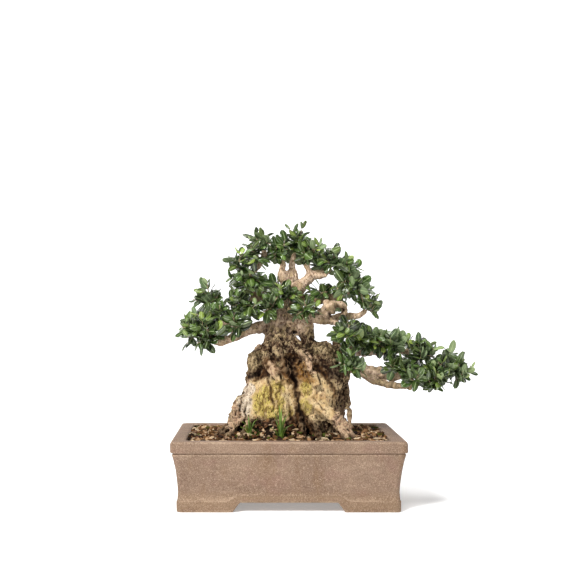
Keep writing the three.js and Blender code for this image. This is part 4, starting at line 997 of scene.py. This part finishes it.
# Each spray: its node, the limb it grows from and how far along, then shoots. The first shoot
# leaves the limb; the rest leave the first, by a fraction of its length. A shoot is x, y, z, length.
SPRAYS = [
    ("lower_left_tip", "lowLeft", 1, (-0.9, -0.17, 0.12, 24),
     (0.3, -0.6, -0.51, -0.9, 26), (0.5, -0.67, 0.36, 0.9, 19)),
    ("lower_left_under", "lowLeft", 0.8, (-0.71, -0.9, -0.23, 20), (0.3, 0.87, -0.9, 0.31, 13)),
    ("lower_left_top", "lowLeftUp", 1, (-0.22, -0.1, 0.9, 27),
     (0.2, -0.9, -0.08, 0.12, 26), (0.3, 0.9, -0.77, 0.69, 14)),
    ("lower_left_mid", "lowLeftUp", 0.45, (-0.9, -0.81, 0.28, 30), (0.3, -0.7, -0.9, -0.55, 33)),
    ("lower_left_inner", "lowLeftUp", 0.6, (0.35, -0.9, 0.43, 22), (0.3, -0.55, -0.9, 0.25, 21)),
    ("lower_left_fore", "lowLeft", 0.66, (-0.69, -0.9, 0.64, 23), (0.3, 0.5, -0.74, 0.9, 19)),
    ("lower_left_back", "lowLeftBack", 1, (-0.9, 0.17, 0.16, 36), (0.3, -0.31, 0.58, 0.9, 24)),
    ("lower_left_behind", "lowLeftBack", 0.6, (-0.07, 0.71, 0.9, 23)),
    ("left_side", "leftSide", 1, (-0.73, -0.9, -0.35, 20), (0.3, -0.26, -0.9, 0.73, 14)),
    ("left_fore", "leftSide", 0.5, (0.04, -0.9, -0.7, 21), (0.3, -0.55, -0.37, -0.9, 23)),
    ("left_low", "lowLeft", 0.42, (-0.31, -0.83, 0.9, 20), (0.3, 0.9, -0.73, 0.17, 15)),
    ("left_back", "left", 0.3, (-0.53, 0.9, 0.17, 25), (0.3, 0.35, 0.9, 0.37, 24)),
    ("upper_left_end", "leftTop", 1, (0.08, -0.19, 0.9, 18), (0.3, 0.26, -0.9, -0.61, 11)),
    ("upper_left_under", "leftTop", 0.55, (-0.36, -0.9, -0.55, 13), (0.3, 0.79, -0.81, -0.9, 17)),
    ("upper_left_top", "left", 1, (-0.67, -0.32, 0.9, 14), (0.3, 0.9, -0.84, 0.41, 13)),
    ("upper_left_back", "left", 0.6, (-0.54, 0.9, 0.33, 20)),
    ("upper_left_fore", "left", 0.84, (-0.9, -0.8, 0.17, 22), (0.3, -0.3, -0.9, -0.62, 18)),
    ("upper_left_mid", "left", 0.43, (-0.12, -0.9, 0.24, 20), (0.3, 0.9, -0.77, -0.5, 18)),
    ("crown_left", "leaderLeft", 1, (-0.9, -0.8, 0.75, 20),
     (0.3, 0.37, -0.9, 0.55, 17), (0.4, -0.55, -0.9, -0.42, 16)),
    ("crown_left_back", "leaderLeft", 0.78, (-0.39, 0.9, 0.55, 28), (0.3, 0.46, 0.9, 0.79, 25)),
    ("crown_top", "leaderMid", 1, (0.47, -0.07, 0.9, 14),
     (0.3, -0.73, -0.8, 0.9, 15), (0.3, 0.9, 0.49, 0.17, 15), (0.6, -0.1, -0.3, 0.9, 17)),
    ("crown_back", "leaderMid", 0.75, (0.24, 0.9, 0.41, 31), (0.3, 0.9, 0.73, 0.25, 29)),
    ("crown_fore", "leaderArm", 1, (0.39, -0.9, 0.78, 20),
     (0.3, -0.78, -0.9, 0.26, 16), (0.4, 0.9, -0.74, -0.04, 17)),
    ("crown_right", "leader", 1, (0.19, -0.37, 0.9, 19), (0.3, -0.9, -0.74, 0.9, 14)),
    ("crown_right_mid", "leader", 0.72, (0.48, 0.9, 0.65, 23), (0.3, -0.34, 0.9, 0.66, 21)),
    ("upper_right_end", "right", 1, (0.41, -0.51, 0.9, 15),
     (0.3, -0.9, -0.79, 0.49, 14), (0.5, 0.9, -0.64, -0.82, 16)),
    ("upper_right_fore", "right", 0.84, (0.59, -0.9, -0.3, 16), (0.3, 0.04, -0.54, -0.9, 18)),
    ("right_out_end", "rightOut", 1, (0.9, -0.47, 0.27, 16),
     (0.3, 0.9, -0.77, -0.79, 17), (0.2, -0.36, -0.9, 0.8, 14)),
    ("right_out_back", "rightOut", 0.5, (0.34, 0.9, 0.25, 27), (0.4, 0.9, 0.84, -0.29, 28)),
    ("right_end", "rightLow", 1, (0.68, -0.16, 0.9, 17), (0.3, 0.87, -0.9, -0.49, 11)),
    ("middle_left", "neck", 0.93, (-0.53, -0.9, 0.5, 17),
     (0.3, -0.9, -0.63, -0.55, 19), (0.5, 0.61, -0.71, 0.9, 16)),
    ("middle_right", "rightLow", 0.16, (0.2, -0.9, 0.41, 14),
     (0.3, -0.9, -0.78, -0.74, 16), (0.4, 0.9, -0.55, -0.16, 14)),
    ("middle_top", "leader", 0.14, (-0.45, -0.9, 0.65, 16),
     (0.3, 0.63, -0.9, -0.23, 16), (0.3, -0.9, -0.53, 0.12, 17)),
    ("middle_small", "right", 0.42, (-0.9, -0.7, 0.61, 7), (0.3, 0.9, -0.21, 0.13, 11)),
    ("right_under", "rightLowDown", 1, (-0.71, -0.9, 0.17, 18),
     (0.4, 0.33, -0.9, -0.41, 12), (0.2, 0.51, -0.79, 0.9, 18)),
    ("long_fore", "longFront", 1, (-0.9, -0.51, 0.27, 26),
     (0.3, 0.9, -0.26, -0.09, 16), (0.4, -0.08, -0.48, 0.9, 15)),
    ("long_top_near", "longUp", 0.24, (-0.05, -0.49, 0.9, 18),
     (0.3, 0.83, -0.9, 0.42, 17), (0.3, -0.15, -0.9, -0.12, 20)),
    ("long_top_mid", "longUp", 0.46, (0.37, -0.56, 0.9, 11),
     (0.3, -0.52, -0.9, 0, 20), (0.3, 0.51, -0.9, -0.07, 20), (0.2, -0.6, -0.7, -0.6, 20),
     (0.2, 0.6, -0.7, -0.6, 18)),
    ("long_top_far", "longUp", 0.72, (0.34, -0.44, 0.9, 11),
     (0.3, -0.37, -0.9, -0.22, 21), (0.3, 0.8, -0.9, 0.16, 23), (0.2, -0.3, -0.7, -0.7, 18)),
    ("long_top_end", "longUp", 1, (0.9, -0.17, 0.33, 25),
     (0.25, -0.09, -0.6, 0.9, 17), (0.4, 0.9, -0.77, -0.29, 23), (0.4, -0.13, -0.9, -0.31, 24)),
    ("long_mid_fore", "long", 0.58, (0.01, -0.9, 0.61, 24),
     (0.3, -0.9, -0.87, 0.26, 21), (0.4, 0.75, -0.9, -0.15, 18)),
    ("long_mid_back", "long", 0.7, (0.3, 0.9, 0.46, 28), (0.3, -0.61, 0.9, 0.84, 25)),
    ("long_far_fore", "long", 0.82, (0.28, -0.9, 0.52, 20),
     (0.3, -0.68, -0.9, 0.08, 20), (0.4, 0.9, -0.73, 0.02, 19)),
    ("long_far_back", "long", 0.86, (0.79, 0.69, 0.9, 23), (0.3, 0.9, 0.3, 0.01, 26)),
    ("long_tip", "long", 1, (0.9, -0.02, 0.17, 24),
     (0.2, 0.41, -0.08, 0.9, 19), (0.25, 0.9, -0.83, -0.36, 11)),
    ("long_low_end", "longLow", 1, (0.86, -0.9, 0.49, 15),
     (0.4, -0.42, -0.9, -0.79, 14), (0.3, 0.9, -0.52, 0.33, 23)),
    ("long_low_mid", "longLow", 0.7, (0.28, -0.9, 0.66, 17), (0.3, -0.9, -0.76, 0.33, 12)),
    ("back_left_end", "backLeft", 1, (-0.74, 0.61, 0.9, 23), (0.3, 0.76, 0.8, 0.9, 24)),
    ("back_right_end", "backRight", 1, (0.9, 0.52, 0.04, 23), (0.3, 0.17, 0.9, 0.7, 20)),
    ("back_low_end", "backLow", 1, (0.9, 0.27, 0.17, 25), (0.3, 0.18, 0.66, 0.9, 15)),
    ("back_low_mid", "backLow", 0.55, (0.38, 0.77, 0.9, 19), (0.3, -0.9, 0.52, 0.12, 12)),
]
# young water shoots with slender leaves, by the spray whose main twig they leave
SLENDER = {
    "crown_top": [(-0.55, -0.3, 0.85, 25), (0.2, -0.2, 0.95, 28)],
    "long_fore": [(0.7, -0.5, -0.3, 22)],
}
FIRST_LEAF = 4.5  # how far along its twig, in millimetres
TRIES = 5  # at finding a free place for a leaf
ROOM = 2.7  # between the leaves
CELL = 4  # the side of the cells in which taken places are kept


def shoot(start, tangent, way, thick=1.5, thin=0.55):
    """A twig that sets out along the tangent, turns to its own way and bends up to the light."""
    direction, length = Vector(way[:3]).normalized(), way[3]
    rows = []
    for s in (0, 0.15, 0.55, 1):
        point = start + direction * length * s + (tangent - direction) * length * min(s, 0.15)
        point.z += 0.1 * length * s * s
        rows.append((*point, thick + (thin - thick) * s))
    return Path(rows)


def side_shoot(main, t, way, thick, thin=0.55):
    """A twig that leaves another at a share of its length."""
    return shoot(main.point(t), Vector(way[:3]).normalized(), way, thick, thin)


def about(axis, draw, spread):
    """A random direction at about that angle from an axis."""
    side = axis.orthogonal().normalized()
    side.rotate(Matrix.Rotation(draw.uniform(0, 2 * math.pi), 3, axis))
    return axis * math.cos(spread) + side * math.sin(spread)


def spray_paths(limb, t, first, others, draw):
    """Where a spray is rooted in its limb, and the paths of all its twigs."""
    branch = Path(LIMBS[limb])
    start, tangent, direction = branch.point(t), branch.heading(t), Vector(first[:3]).normalized()
    if t < 1:
        slant = direction.dot(tangent)
        reach = branch.radius(t) * 1.1 / math.sqrt(max(1 - slant * slant, 0.2)) + 3.7
        root = start + direction * branch.radius(t) * 0.4
        start, tangent = start + direction * reach, direction
    else:
        root = start - tangent * 3
    main = shoot(start, tangent, first)
    paths = [main] + [side_shoot(main, share, way, 1.1) for share, *way in others]
    extra = []
    for path in paths:
        for step in range(1, 4):
            at = step / 4 + draw.uniform(-0.1, 0.1)
            way = about(path.heading(at), draw, draw.uniform(0.7, 1.2)) + Vector((0, 0, 0.2))
            extra.append(side_shoot(path, at, (*way, draw.uniform(6, 14)), 0.8, 0.4))
    return root, paths + extra


def cell(point):
    """The cell that a point in millimetres lies in."""
    return tuple(math.floor(n / CELL) for n in point)


taken = {}


def is_free(points):
    """Whether a leaf through some points clears the mix, the stump and all the leaves so far."""
    for point in points:
        if point.z < 104 or (point.z < 205 and math.hypot((point.x - 8) / 70, (point.y - 1) / 46) < 1):
            return False
        around = itertools.product(*((n - 1, n, n + 1) for n in cell(point)))
        if any((other - point).length < ROOM for key in around for other in taken.get(key, ())):
            return False
    return True


def lay_leaf(shell, base, way, size, slim, tip, draw):
    """Lays one leaf with its face out to the light; tip is 1 at the end of a twig, 0 further in."""
    outward = Vector((base.x * 0.004, max(-0.5, min(0.5, (base.y - 2) / 24)), 0.6))
    face = outward + Vector([draw.uniform(-0.8, 0.8) for _ in range(3)])
    face = (face - way * face.dot(way)).normalized()
    turned = Matrix((way, face.cross(way), face)).transposed().to_4x4()
    width = size * slim * draw.uniform(0.92, 1.2)
    scaled = Matrix.Diagonal((size / 1000, width / 1000, size / 1000, 1))
    matrix = Matrix.Translation(place(*base)) @ turned @ scaled
    fresh = len(shell.verts)
    shell.from_mesh(draw.choice(LEAVES))
    shell.verts.ensure_lookup_table()
    tone, young = shell.verts.layers.float["tone"], shell.verts.layers.float["young"]
    # leaves further in along a twig are darker, painted shade for the inner leaves, over a tone that differs
    # at random
    shade = 0.75 * draw.random() + 0.25 * tip
    tender = 0.9 * tip * draw.random() ** 3 + 0.1 * draw.random()
    for vert in shell.verts[fresh:]:
        vert.co = matrix @ vert.co
        vert[tone], vert[young] = shade, tender


def grow_pair(shell, base, heading, turn, slim, tip, draw):
    """Two leaves on opposite sides of a twig, each where it finds room."""
    side = Vector((0, 0, 1)).cross(heading).normalized()
    lift = heading.cross(side)
    for half in (0, math.pi):
        for attempt in range(TRIES):
            angle = turn + half + draw.uniform(-0.3, 0.3) * (attempt + 1)
            spread = draw.uniform(0.85, 1.25) - 0.45 * tip
            out = side * math.cos(angle) + lift * math.sin(angle)
            way = heading * math.cos(spread) + math.sin(spread) * out
            way = (way + Vector((0, 0, 0.15))).normalized()
            size = draw.uniform(12, 20) * (1 - 0.3 * tip)
            points = [base + way * size * s for s in (0.45, 0.7, 0.95)]
            if is_free(points):
                for point in points:
                    taken.setdefault(cell(point), []).append(point)
                lay_leaf(shell, base, way, size, slim, tip, draw)
                break


def grow_leaves(shell, paths, draw, slim=1):
    """Crossed pairs of leaves along each twig, smaller and closer to its line at the tip."""
    for path in paths:
        length = sum((path.point(i / 8 + 0.125) - path.point(i / 8)).length for i in range(8))
        turn = draw.uniform(0, math.pi)
        at = FIRST_LEAF
        while at < length + 1:
            t = min(at / length, 1)
            turn += math.pi / 2 + draw.uniform(-0.3, 0.3)
            grow_pair(shell, path.point(t), path.heading(t), turn, slim, ease(t, 0.75, 1), draw)
            at += draw.uniform(5, 8)


for name, limb, t, first, *others in SPRAYS:
    draw = random.Random(name)
    root, paths = spray_paths(limb, t, first, others, draw)
    slender = [side_shoot(paths[0], 0.8, way, 0.8, 0.35) for way in SLENDER.get(name, ())]
    lines = [path.rows(3) for path in paths + slender]
    lines[0] = [(root, 1.9)] + lines[0]
    shell = bmesh.new()
    grow_leaves(shell, paths, draw)
    grow_leaves(shell, slender, draw, 0.5)
    fresh = len(shell.faces)
    shell.from_mesh(stems("twigs", lines, 6))
    shell.faces.ensure_lookup_table()
    for face in shell.faces[fresh:]:
        face.material_index = 2
    mesh = new_mesh("leafy_" + name, shell, upper, lower, twig.material, turn=False)
    put_in(add_object("leafy_" + name, mesh), "spray_" + name)

# ---------------------------------------------------------------- grass
# Two tufts of young grass that seeded themselves at the foot of the stump. Each blade is one thin
# leaf that rises from the mix and leans outwards.
BLADES = {
    "grass_tuft_tall": (-10, -64, [(-5, 1, 38), (-1, -3, 46), (3, -2, 30), (6, 2, 34), (1, 4, 40),
                                   (-3, 3, 24), (4, -4, 18), (-7, -2, 16), (8, 0, 20), (-2, 0, 33)]),
    "grass_tuft_short": (-50, -60, [(-5, -2, 20), (-1, 3, 26), (4, -3, 17), (5, 2, 22), (-3, -4, 13),
                                    (-6, 1, 12), (1, -2, 19)]),
}
# a blade's knots: share of its lean, share of its height, and half its width
BLADE_ROWS = [(0.5, 0.4, 1.3), (1, 0.78, 1), (2, 1, 0.15)]
grass = Finish("grass")
haze = grass.grain(120, 3)
ribs = grass.grain(2200, 2, stretch=(1, 1, 0.1))
grass.use(Base_Color=grass.mix(haze.ramp(0.35, 0.65), paint(48, 72, 12), paint(102, 128, 36)), Roughness=0.5,
          Normal=grass.relief(ribs, 0.0003, 0.5))
for name, (x, y, blades) in BLADES.items():
    level = soil_level(x, y)
    shell = bmesh.new()
    for dx, dy, height in blades:
        knots = [(x + dx * 0.3, y + dy * 0.3, level - 3, 1)]
        knots += [(x + dx * lean, y + dy * lean, level + height * up, wide) for lean, up, wide in BLADE_ROWS]
        rows = Path(knots).rows(3)
        side = Vector((dy + 0.1, -dx, 0)).normalized()
        left = [shell.verts.new(place(*(point - side * radius))) for point, radius in rows]
        edges = [shell.edges.new(pair) for pair in zip(left, left[1:])]
        row_of = dict(zip(left, rows))
        for vert, back in draw_out(shell, edges)[1].items():
            point, radius = row_of[back]
            vert.co = place(*(point + side * radius))
    bmesh.ops.solidify(shell, geom=shell.faces[:], thickness=0.0005)
    put_in(add_object("blades_" + name, new_mesh("blades_" + name, shell, grass.material)), name)

# ---------------------------------------------------------------- drain nets
# Squares of black plastic net over the two drainage holes, under the mix, which they keep in.
plastic = Finish("net")
scuff = plastic.grain(900, 3, 0.6)
plastic.use(Base_Color=plastic.mix(scuff.ramp(0.4, 0.7), paint(32, 34, 34), paint(62, 62, 58)),
            Roughness=0.5 + 0.2 * scuff, Normal=plastic.relief(scuff, 0.0002, 0.4))
for side in ("left", "right"):
    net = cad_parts["drain_mesh_" + side].data
    net.materials.clear()
    net.materials.append(plastic.material)

# ---------------------------------------------------------------- end
low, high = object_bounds()
